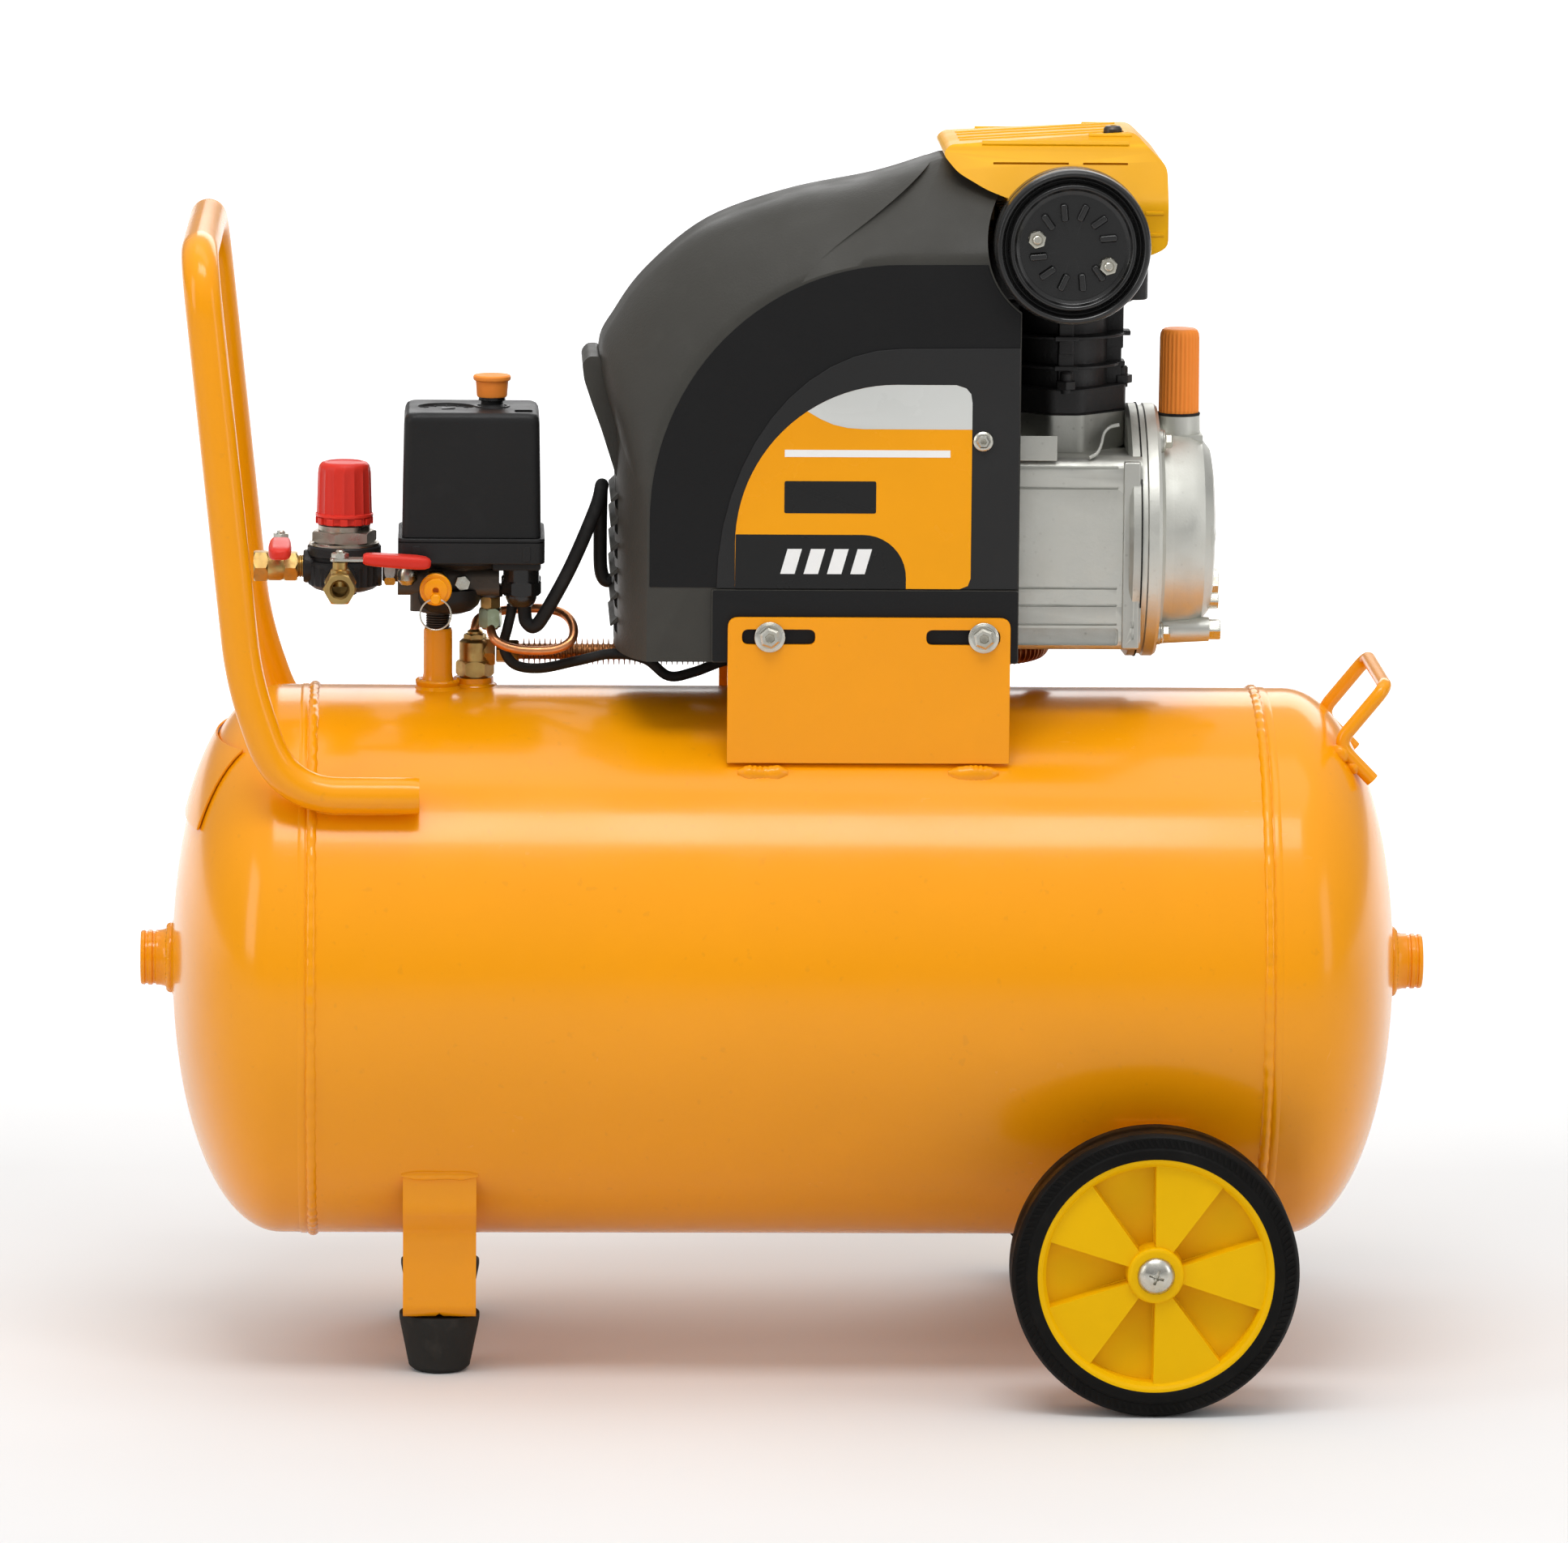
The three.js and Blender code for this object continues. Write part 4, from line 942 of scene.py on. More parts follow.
def tyre(node, x, y, z, out):
    """A solid tyre; out is -1 or 1, the side its face looks to."""
    profile = [(65.5, out * 18.2), (67.2, out * 18.8), (69.6, out * 19), (71.2, out * 18.9), (72, out * 17.9),
               (77.6, out * 17.3), (78.4, out * 16.4), (TYRE_R, out * 14.2), (TYRE_R, 4.6),
               (TYRE_R - 0.9, 3.8), (TYRE_R - 0.9, 2.4), (TYRE_R, 1.6), (TYRE_R, -1.6), (TYRE_R - 0.9, -2.4),
               (TYRE_R - 0.9, -3.8), (TYRE_R, -4.6), (TYRE_R, -out * 13), (76.5, -out * 18), (70, -out * 19),
               (65.5, -out * 18.4)]
    ring = turned("ring", "y", profile, (x, y, z), 168, soften=0.5, ring=True)
    ribs = []
    count = 120
    for i in range(count):
        rib = block("rib", (-0.75, 0.75), (out * 16.4, out * 18.2), (72.3, 77.4))
        spun(rib, "y", 28 * out, (0, 0, 75))
        spun(rib, "y", 360 * i / count)
        ribs.append(shifted(rib, x, y, z))
    surface(node, gathered(f"{node}_rubber", [ring, *ribs]), tyre_rubber)


def wheel_face(out):
    """The rim's moulded face: ten sectors, every other one sunk, between a hub ring and a lip."""
    hub, lip, count, proud, back = 15.2, 61.5, 10, 14.4, -2
    angles, sunk = [], []
    for sector in range(count):
        start = math.pi / 2 - TAU * sector / count
        for share in (0.012, 0.034, 0.12, 0.3, 0.5, 0.7, 0.88, 0.966, 0.988):
            angles.append(start - share * TAU / count)
            sunk.append(sector % 2 == 1 and 0.02 < share < 0.98)
    radii = [hub, hub + 1.2, 22, 32, 42, 52, lip - 2.5, lip - 0.8, lip]
    rows = []
    for k, radius in enumerate(radii):
        share = (radius - hub) / (lip - hub)
        row = []
        for angle, is_sunk in zip(angles, sunk):
            depth = proud - (12.5 - 4.5 * share) if is_sunk and 0 < k < len(radii) - 1 else proud
            row.append((radius * math.cos(angle), out * depth, radius * math.sin(angle)))
        rows.append(row)
    back_rows = [[(x, out * back, z) for x, _, z in row] for row in (rows[-1], rows[0])]
    return rings("face", [*rows, *back_rows], loop=True)


def rim(node, x, y, z, out):
    face = shifted(wheel_face(out), x, y, z)
    lip = turned("lip", "y", [(60.6, out * 13.2), (61.6, out * 14.9), (62.4, out * 16.4), (64, out * 17.6),
                              (65.8, out * 17.9), (66.9, out * 17.4), (66.9, out * 15), (65.2, out * 14),
                              (65.2, -out * 17), (60, -out * 17), (58.6, -out * 14), (58.4, -out * 3),
                              (60.4, -out * 1)], (x, y, z), 160, soften=0.5, ring=True)
    hub = turned("hub", "y", [(6.7, out * 17.2), (14.2, out * 17.4), (15.6, out * 16.4), (15.8, out * 13.5),
                              (15, -out * 17), (6.7, -out * 17)], (x, y, z), 72, soften=0.8, ring=True)
    spokes = []
    for i in range(10):
        rib = block("rib", (15, 59), (min(-out * 12, out * 4), max(-out * 12, out * 4)), (-1.1, 1.1), 0.3)
        spokes.append(shifted(spun(rib, "y", 36 * i + 18), x, y, z))
    surface(node, gathered(f"{node}_moulding", [face, lip, hub, *spokes]), rim_plastic, 28)


def axle_bolt(node, x, y, z, out):
    """A coach bolt with a crossed slot, its washer and its nut behind the ear."""
    face, depth = y + out * 22, 18
    head = turned("head", "y", [(0, 0), (2.2, 0), (5.4, -0.5), (8, -1.6), (9.7, -3.1), (10.4, -4.4),
                                (10.4, -5), (0, -5)], (0, 0, 0), 56)
    cross = [block("slot", (-4.2, 4.2), (-2.4, 1), (-0.75, 0.75)),
             block("slot", (-0.75, 0.75), (-2.4, 1), (-4.2, 4.2)),
             turned("pit", "y", [(0, 1), (2.2, 1), (1.0, -3.4), (0, -3.4)], sides=16)]
    for piece in (head, *cross):
        for vertex in piece.data.vertices:
            vertex.co.y *= out
    if out < 0:
        for piece in (head, *cross):
            piece.data.flip_normals()
    cut(head, *cross)
    spun(head, "y", 18)
    shifted(head, x, face, z)
    ear = out * 143
    shank = rod("shank", "y", 6, y + out * depth, ear - out * 12, (x, 0, z), 32, soften=0.8)
    washer = sleeve("washer", "y", 6, 9.4, ear + out * 3.4, y - out * 17.4, (x, 0, z), 40, soften=0.5)
    axle_nut = pushed("nut", "y", hexagon(10.4), ear - out * 0.3, ear - out * 9, (x, 0, z), 0.8)
    surface(node, gathered(f"{node}_steel", [head, shank, washer, axle_nut]), zinc)


# ---- Motor bracket ----


def motor_bracket():
    """Two slotted cheeks joined by a web, and the welds that hold them to the tank."""
    low, high = span("motor_bracket")
    left, right = low[0], high[0]
    bolt_z = middle("bracket_bolt_front_left")[2]
    plates = []
    for y in (-94, 91):
        outline = [(left, low[2]), (right, low[2]), *rounded([(right, low[2]), (right, high[2]),
                                                              (left, high[2]), (left, low[2])], 6,
                                                             closed=False, steps=5)[1:-1]]
        plate = pushed("plate", "y", outline, y, y + SHEET)
        slots = [pushed("slot", "y", rectangle(a, b, bolt_z - 4.2, bolt_z + 4.2, 4.1), -120, 120)
                 for a, b in ((-27, 13.7), (75.6, 116.7))]
        plates.append(bevelled(cut(plate, *slots), 0.5))
    web = block("web", (left + 6, right - 6), (-91.5, 91.5), (380, 383), 0.5)
    surface("motor_bracket", gathered("motor_bracket_sheet", [*plates, web]), tank_paint)
    weld_y = 96
    line_z = TANK_Z + chord(weld_y) + 0.6
    for k, x in enumerate((left + 20, right - 20, left + 22, right - 22)):
        y = -weld_y if k < 2 else weld_y
        line = [(x - 14 + i * 1.4, y, line_z) for i in range(21)]
        painted(weld(f"bracket_weld_{k}", line, from_tank_axis, 11, 3.4, seed=k))


def bracket_bolts():
    for node in [n for n in BODY_OF if n.startswith("bracket_bolt_")]:
        x, y, z = middle(node)
        out = -1 if y < 0 else 1
        screw = flange_screw(f"{node}_screw", "y", 8.6, (x, out * 94.3, z), out, 4.4, 17)
        surface(node, spun(screw, "y", 20, (x, y, z)), zinc, 30)


# ---- Motor shroud ----

SHROUD_Y = 88
SHROUD_LEFT, SHROUD_RIGHT = -97, 127
SHROUD_FOOT = span("motor_shroud")[0][2]
FILTER_X, FILTER_Z = middle("air_filter")[0], middle("air_filter")[2]
FACE_X, FACE_Z, FACE_WIDE, FACE_TALL = 60, 485, 140, 144  # the flat face's arch, a quarter of an ellipse
FACE_TILT = math.radians(66)  # how far the crown's round goes before it meets the flat face
SLOPE_DEPTH = 0.42  # how much the round is flattened right of the crease


CROWN = through([(x, 0, z) for x, z in (  # the outline against the sky, from the lip up to the head cover
    (SHROUD_LEFT, 530), (-106.5, 569), (-97, 591), (-79, 615), (-46, 642), (0, 659), (50, 669.5), (85, 681),
)], 16)


def hood_arc(swell, inset, share):
    """A point of the hood's arch: swell 0 is the flat face's edge and 1 the crown in the middle."""
    angle = share * math.pi / 2
    face_x = FACE_X - (FACE_WIDE - inset) * math.cos(angle)
    face_z = FACE_Z + (FACE_TALL - inset) * math.sin(angle)
    place = share * (len(CROWN) - 1)
    i = min(int(place), len(CROWN) - 2)
    crown = CROWN[i].lerp(CROWN[i + 1], place - i)
    return (blend_of(face_x, crown.x + inset * math.cos(angle), swell),
            blend_of(face_z, crown.z - inset * math.sin(angle), swell))


def hood(inset):
    """The hood's skin. Right of a crease that climbs to the crown, the round flattens into a slope."""
    flat, steps, before, after = 20, 16, 44, 20
    reach = SHROUD_Y - inset - flat
    bottom = SHROUD_FOOT - (10 if inset else 0)
    right = SHROUD_RIGHT + (10 if inset else 0)

    def row(side, k):
        tilt = FACE_TILT * k / steps
        swell = (math.cos(tilt) - math.cos(FACE_TILT)) / (1 - math.cos(FACE_TILT))
        across = math.sin(tilt) / math.sin(FACE_TILT)
        crease = 0.73 + 0.24 * swell
        shares = [crease * i / before for i in range(before)]
        shares += [crease + (1 - crease) * (i / after) ** 1.6 for i in range(after + 1)]
        left, _ = hood_arc(swell, inset, 0)
        top_x, top_z = hood_arc(swell, inset, 1)
        points = [(left, side * (flat + reach * across), bottom)]
        for i, share in enumerate(shares):
            x, z = hood_arc(swell, inset, share)
            # the slope sets in four rows before the crease and is full nine rows after it
            slope = smooth_step((i - before + 4) / 13) * smooth_step(swell * 2.4)
            points.append((x, side * (flat + reach * across ** (1 + SLOPE_DEPTH * slope)), z))
        slope = smooth_step(swell * 2.4)
        y = side * (flat + reach * across ** (1 + SLOPE_DEPTH * slope))
        points += [(max(x, top_x), y, top_z) for x in (96, 108, right)]
        points.append((right, side * (flat + reach * across), bottom))
        return points

    rows = [row(-1, k) for k in range(steps, -1, -1)] + [row(1, k) for k in range(steps + 1)]
    return rings("hood", rows)


ROOF_SLOPE = 3.6  # degrees that the head cover's roof drops towards its left end


def cover_block(inset):
    """The head cover's body: an upright outline met by a roof outline."""
    left, right, top = 84 + 2 * inset, 209 - inset, 697 - inset
    if inset:
        outline = [(left, 600), (left, top - 10), (191, top), (right, top - 17), (right, 600)]
    else:
        outline = [(left, 685.5), (92, 676), (108, 667), (124, 661), (126, 631), (199, 631), (right, 636),
                   (right, 679.4), (191.5, top), (88, 690.5)]
    half, eaves, ridge = 68 - inset, 660 - inset, 698 - inset
    roof = [(-half, 590), (half, 590), (half, eaves), (44, ridge - 7), (28, ridge), (-28, ridge),
            (-44, ridge - 7), (-half, eaves)]
    if not inset:
        outline, roof = rounded(outline, 4), rounded(roof, 5, steps=4)
    body = pushed("cover_side", "y", outline, -80, 80)
    return combined(body, [pushed("cover_roof", "x", roof, 60, 230)], "INTERSECT")


def arch(offset, top_right, foot_z, x_right):
    """The flat face's own arch, drawn in by offset."""
    points = [hood_arc(0, offset, i / 28) for i in range(29)]
    return [(points[0][0], foot_z), *points, (x_right, top_right), (x_right, foot_z)]


def quarter(x0, z0, x1, z1, steps=12):
    """A quarter of an ellipse from upright at the first point to level at the second."""
    return [(x1 - (x1 - x0) * math.cos(t), z0 + (z1 - z0) * math.sin(t))
            for t in (math.pi / 2 * i / steps for i in range(steps + 1))]


def motor_shroud():
    """The hood with its skirts, lip, vents and louvres, cut free round its neighbours."""
    shell = hood(0)
    skirts = [pushed("skirt", "y", rectangle(-44, SHROUD_RIGHT, SHROUD_FOOT, 446, 1.5), a, b, soften=0.6)
              for a, b in ((-90, -86), (86, 90))]
    lip = pushed("lip", "y", rounded([(-96, 500), (-100.5, 514), (-105.2, 528.8), (-110.3, 542.6),
                                      (-114.9, 556.3), (-116, 565.5), (-112.5, 569.6), (-106, 569.6),
                                      (-103, 556), (-95, 525)], 2.2), -34, 34, soften=1.2)
    fused(shell, *skirts, lip)
    vent_zs = [414 + i * 14 for i in range(6)]
    vents = [block("vent", (-106, -90), (-42, 42), (z, z + 6.5)) for z in vent_zs]
    bolts = [rod("bolt_way", "y", 4.4, -100, 100, (middle(f"bracket_bolt_front_{name}")[0], 0, 420), 24)
             for name in ("left", "right")]
    scallop = rod("scallop", "y", 46.5, -100, -50, (FILTER_X, 0, FILTER_Z), 96)
    seat = shifted(cover_block(0), -0.4, 0, -0.5)
    cut(shell, hood(SHEET), *vents, scallop, seat, *bolts)
    surface("motor_shroud", bevelled(shell, 0.8, 2, 30), shroud_plastic, 30)
    louvres = [pushed("louvre", "y", rounded([(-95.5, z + 7), (-99.4, z + 4.5), (-100, z + 5.6),
                                              (-95.5, z + 10)], 0.5), -44, 44, soften=0.4) for z in vent_zs]
    dressed(gathered("shroud_louvres", louvres), ROOT, shroud_plastic)


def shroud_face():
    """The darker flat panels of the front and rear."""
    edge = SHROUD_RIGHT - 0.6
    for side, name in ((-1, "front"), (1, "rear")):
        panel = pushed(f"{name}_panel", "y", arch(1.4, 628, 447, edge),
                       *sorted((side * (SHROUD_Y - 0.4), side * (SHROUD_Y + 0.5))))
        if side < 0:
            cut(panel, rod("scallop", "y", 47.5, -100, 100, (FILTER_X, 0, FILTER_Z), 96))
        dressed(bevelled(panel, 0.4), ROOT, panel_plastic)
        raised = pushed(f"{name}_raised_panel", "y", [*quarter(-41.4, 446.6, 60, 581), (edge, 581.6),
                                                      (edge, 446.6)],
                        *sorted((side * (SHROUD_Y + 0.3), side * (SHROUD_Y + 1.5))), soften=0.6)
        dressed(raised, ROOT, raised_plastic)
        strip = pushed(f"{name}_foot_strip", "y", rectangle(-43.4, edge, SHROUD_FOOT + 0.6, 445.6, 1.2),
                       *sorted((side * 89.6, side * 90.5)))
        dressed(strip, ROOT, panel_plastic)


def label():
    """The plain label: fields of orange, silver and black with a rule, a block and slanted stripes."""
    front, back = -SHROUD_Y - 1.8, -SHROUD_Y - 1.2
    left, right, low, high = -31.2, 100, 446.8, 561
    top_arc = quarter(left, 472, 58, high, 24)
    corner = [(right - 9, high), (right - 3.5, high - 1.8), (right - 0.8, high - 5), (right, high - 10)]
    lower = [(right, low + 6), (right - 1.5, low + 1.8), (right - 6, low), (left, low)]
    silver_arc = [point for point in top_arc if point[1] > 545]
    sweep = [(40, 536.2), (31, 536.8), (23, 538.6), (16, 541.6)]
    patch = quarter(left + 95.2, 453, left + 71.2, 477, 10)
    fields = (
        ("label_orange", [*top_arc, *corner, *lower], 0, label_orange),
        ("label_silver", [*silver_arc, *corner, (right, 536.2), *sweep], 0.08, label_silver),
        ("label_black", [(64, low), *patch, (left + 0.3, 477), (left, low)], 0.08, label_black),
    )
    for name, outline, proud, material in fields:
        dressed(pushed(name, "y", outline, front - proud, back), ROOT, material)
    bars = [("label_rule", rectangle(-4, 88, 520.5, 524.5), label_white),
            ("label_block", rectangle(-4, 47, 489, 507, 1.2), label_black)]
    bars += [(f"label_stripe_{i}", [(-6 + i * 13, 455), (2 + i * 13, 455), (6 + i * 13, 469),
                                    (-2 + i * 13, 469)], label_white) for i in range(4)]
    for name, outline, material in bars:
        dressed(pushed(name, "y", outline, front - 0.16, front + 0.1), ROOT, material)


def shroud_screws():
    screws = [flange_screw("screw", "y", 5.6, (106.2, side * (SHROUD_Y + 1.4), 529.6), side, 2.6, 3)
              for side in (-1, 1)]
    dressed(gathered("shroud_screws", screws), ROOT, zinc)


# ---- Pump ----

PUMP_X = middle("cylinder")[0]
CRANK_Z = round(middle("cooling_fan")[2], 3)
OIL_PLUG_X = round(middle("oil_plug")[0], 3)


def diamond(reach, chop, radius):
    """A square standing on its corner, the corners chopped off and softened."""
    corners = [(reach, -chop), (reach, chop), (chop, reach), (-chop, reach), (-reach, chop), (-reach, -chop),
               (-chop, -reach), (chop, -reach)]
    return rounded(corners, radius)


def crankcase():
    """The die-cast chamber with its neck, motor frame, ribs and marks."""
    body = pushed("chamber", "x", rectangle(-62, 62, 408, 517, 9), 112, 197)
    neck = pushed("neck", "z", diamond(35, 9, 3), 500, 537.6, (PUMP_X, 0, 0))
    stand = turned("stand", "z", [(0, 500), (33, 500), (31, 530), (0, 530)], (PUMP_X, 0, 0), 64)
    frame_ring = rod("frame_ring", "x", 60.5, -52, 114, (0, 0, CRANK_Z), 72)
    flange = turned("flange", "x", [(0, 190), (69, 190), (71.5, 192), (71.5, 196.2), (0, 196.2)],
                    (0, 0, CRANK_Z), 96)
    lug_xs = (-11.6, 107.5)
    lugs = [block("lug", (x - 9, x + 9), (-84.7, 84.7), (411, 429)) for x in lug_xs]
    fused(body, neck, stand, frame_ring, flange, *lugs)
    tools = [
        rod("bore", "x", 50, 126, 210, (0, 0, CRANK_Z), 72),
        rod("hollow", "x", 56.5, -60, 112.5, (0, 0, CRANK_Z), 72),
        rod("bearing", "x", 12, 100, 130, (0, 0, CRANK_Z), 40),
        rod("cylinder_way", "z", 27, 480, 560, (PUMP_X, 0, 0), 56),
    ]
    for side in (-1, 1):
        tools.append(pushed("pocket", "y", rectangle(118, 184.5, 411.2, 421.2, 2),
                            *sorted((side * 58.5, side * 66))))
        tools += [rod("bolt_hole", "y", 4, side * 74, side * 90, (x, 0, 420), 20) for x in lug_xs]
        tools += [pushed("groove", "y", rectangle(112.5, 183.5, z - 0.75, z + 0.75, 0.6),
                         *sorted((side * 60.6, side * 66))) for z in (423.4, 434, 443.8, 500.2, 511.6)]
    cut(body, *tools)
    bevelled(body, 1.1, 3, 30)
    extras = []
    for side in (-1, 1):
        near, far = sorted((side * 61.6, side * 62.9))
        extras.append(block("ledge", (112.5, 149), (near - 0.2 * side, far), (515.5, 529.5), 1.2))
        bend = [(167, 517), (171.5, 519.5), (174, 524), (175.5, 529), (179, 532.5), (184.5, 533.8)]
        line = through([(x, side * (60 - (z - 517) * 0.9), z) for x, z in bend], 6)
        extras.append(swept("s_rib", line, 1.1, 10))
        strip_part = block("strip", (186.4, 196), tuple(sorted((side * 58, side * 63.6))), (409.5, 515),
                           1.2, 3)
        marks = [pushed("pin_mark", "y", rectangle(191.2, 193, low, high, 0.7),
                        *sorted((side * 62.6, side * 66))) for low, high in ((415, 418.2), (421.4, 425.4))]
        extras.append(cut(strip_part, *marks))
    surface("crankcase", gathered("crankcase_casting", [body, *extras]), cast_aluminium, 30)
    seal = sleeve("crankcase_gasket", "x", 60, 71.9, 196.3, 197.1, (0, 0, CRANK_Z), 96)
    dressed(seal, ROOT, gasket)


def crankcase_cover():
    """The dished cover with its filler boss, drain and four screws."""
    axis = (0, 0, CRANK_Z)
    shell = turned("shell", "x", [(0, 236), (44, 236), (49, 231), (49, 197.2), (70.2, 197.2), (70.4, 200),
                                  (71.5, 200.8), (71.5, 206.4), (70.2, 208.2), (61, 208.8), (57.5, 211),
                                  (56.6, 216), (55.6, 226), (52.5, 233.5), (46, 238.6), (38, 240), (0, 240)],
                   axis, 96)
    boss = turned("boss", "z", [(0, 505), (12.6, 505), (12, 534.2), (0, 534.2)], (OIL_PLUG_X, 0, 0), 56)
    saddle = block("saddle", (206, 234), (-13, 13), (505, 524))
    swell = turned("swell", "y", [(0, -50), (17, -47), (19, -30), (19, 30), (17, 47), (0, 50)],
                   (222, 0, 470), 48)
    drain_boss = turned("drain", "x", [(0, 205), (8.5, 205), (6.8, 238), (0, 238)], (0, -24, 415.5), 36)
    fused(shell, boss, saddle, swell, drain_boss)
    cut(shell, rod("filler", "z", 6.6, 505, 540, (OIL_PLUG_X, 0, 0), 36),
        turned("inside", "x", [(0, 190), (48.9, 190), (48.9, 231), (44, 236), (0, 236)], axis, 72))
    bevelled(shell, 1.6, 3, 28)
    ears, screws, screw_circle = [], [], 64
    for angle in (math.radians(a) for a in (58, 122, -58, -122)):
        y, z = -screw_circle * math.cos(angle), CRANK_Z + screw_circle * math.sin(angle)
        ears.append(turned("ear", "x", [(0, 200), (7, 200), (6.6, 210), (0, 210)], (0, y, z), 36, soften=0.6))
        screws.append(flange_screw("screw", "x", 6.2, (210, y, z), 1, 4.4, 6))
    surface("crankcase_cover", gathered("cover_casting", [shell, *ears]), cast_aluminium, 32)
    plug = pushed("plug", "x", hexagon(6.4), 237.5, 244.6, (0, -24, 415.5), 0.7)
    small = pushed("small", "x", hexagon(5), 237, 243.4, (0, -21, 431.4), 0.6)
    dressed(gathered("cover_screws", [*screws, plug, small]), ROOT, zinc)


def sight_glass():
    _, y, z = middle("sight_glass")
    bezel = turned("sight_glass_bezel", "x", [(6.4, 239), (9.5, 239), (9.5, 244.2), (8.6, 244.6),
                                              (6.8, 244.6), (6.4, 244)], (0, y, z), 6, ring=True)
    ring = sleeve("ring", "x", 6.2, 10.6, 239, 240.6, (0, y, z), 48, soften=0.3)
    dressed(gathered("sight_glass_bezel_ring", [bezel, ring]), ROOT, zinc)
    lens = turned("sight_glass_lens", "x",
                  [(0, 240.2), (6.6, 240.2), (6.6, 243.4), (4, 243.9), (0, 244.1)], (0, y, z), 40)
    surface("sight_glass", lens, clear_lens)
    oil = rod("oil_mark", "x", 6.3, 239.4, 240.0, (0, y, z), 32)
    dressed(oil, ROOT, red_plastic)
    dot = rod("oil_dot", "x", 2.2, 240.0, 240.15, (0, y, z), 24)
    dressed(dot, ROOT, label_white)


def oil_plug():
    count, radius, proud = 28 * 4, 11, 0.45
    ribs = [(TAU * (i + 0.5) / count, radius + (proud if i % 4 < 2 else 0)) for i in range(count)]
    cap = grip("cap", ribs, [(534.9, 1.25, 1), (535.2, 0.325, 0.5), (537, 0, 0), (578, 0.3, 0),
                             (580.5, 0.58, 0.4), (582.4, 1.45, 1), (583.2, 2.65, 1)], (OIL_PLUG_X, 0, 0))
    stem = rod("stem", "z", 5.9, 514, 536, (OIL_PLUG_X, 0, 0), 32)
    surface("oil_plug", gathered("oil_plug_cap", [cap, stem]), orange_plastic, 40)
    ring = turned("oil_plug_seal", "z", [(7, 534.3), (11.9, 534.3), (12.2, 535), (11.9, 535.8), (7, 535.8)],
                  (OIL_PLUG_X, 0, 0), 56, ring=True)
    dressed(ring, "oil_plug", gasket)


def cylinder():
    """A finned barrel on a chopped square foot, with studs and a gasket."""
    base, top = 538.3, 603.6
    at = (PUMP_X, 0, 0)
    wall = sleeve("wall", "z", 21.2, 25.2, 530, top, at, 72)
    flange = pushed("foot", "z", diamond(35.5, 9, 4), base, 552.5, at, 1.2, 3)
    cut(flange, rod("way", "z", 24, 530, 560, at, 56))
    parts = [wall, flange]
    for z, radius in ((564, 32.5), (581, 35.5)):
        fin = turned("fin", "z", [(24, z - 1.1), (radius, z - 0.7), (radius, z + 0.7), (24, z + 1.3)], at, 80,
                     soften=0.4, ring=True)
        parts.append(fin)
        for angle in range(0, 360, 90):
            tab = block("tab", (radius - 9, radius + 2.4), (-6.5, 6.5), (z - 1.3, z + 1.3), 0.5)
            parts.append(shifted(spun(tab, "z", angle), PUMP_X, 0, 0))
    for angle in range(0, 360, 90):
        post = block("post", (24, 34), (-4.2, 4.2), (572, 602), 1.0)
        foot_post = block("post", (24, 33), (-4.4, 4.4), (552, 574), 1.0)
        stud = turned("stud", "z", [(0, 550), (3.4, 550), (3.4, 561), (2.6, 562), (0, 562)], (33.6, 0, 0), 24)
        stud_nut = pushed("nut", "z", hexagon(6), 552.3, 557, (33.6, 0, 0), 0.5)
        parts += [shifted(spun(piece, "z", angle), PUMP_X, 0, 0)
                  for piece in (post, foot_post, stud, stud_nut)]
    parts.append(turned("crown", "z", [(23, 598.5), (39, 599.4), (40, 600.4), (40, top), (23, top)], at, 80,
                        soften=0.5, ring=True))
    surface("cylinder", gathered("cylinder_casting", parts), black_iron, 32)
    seal = pushed("cylinder_gasket", "z", diamond(35.2, 9, 4), 537.6, 538.4, at)
    cut(seal, rod("way", "z", 27, 530, 545, at, 48))
    dressed(seal, ROOT, gasket)


def cylinder_head():
    low, high = span("cylinder_head")
    block_part = pushed("head", "z", rectangle(-45, 45, -46, 46, 8), low[2], 634, (PUMP_X, 0, 0), 1.2, 3)
    fins = []
    for y in (-28, -14, 0, 14, 28):
        fins.append(shifted(block("fin", (-38, 38), (y - 1.7, y + 1.7), (632, high[2]), 0.8), PUMP_X, 0, 0))
    for y in (-40, 40):
        for x in (-38, 38):
            fins.append(flange_screw("head_screw", "z", 6, (PUMP_X + x, y, 634), 1, 5, 4))
    plate = pushed("valve_plate", "z", rectangle(-43, 43, -44, 44, 7), 603.9, 606.5, (PUMP_X, 0, 0))
    surface("cylinder_head", gathered("head_casting", [block_part, *fins, plate]), black_iron)


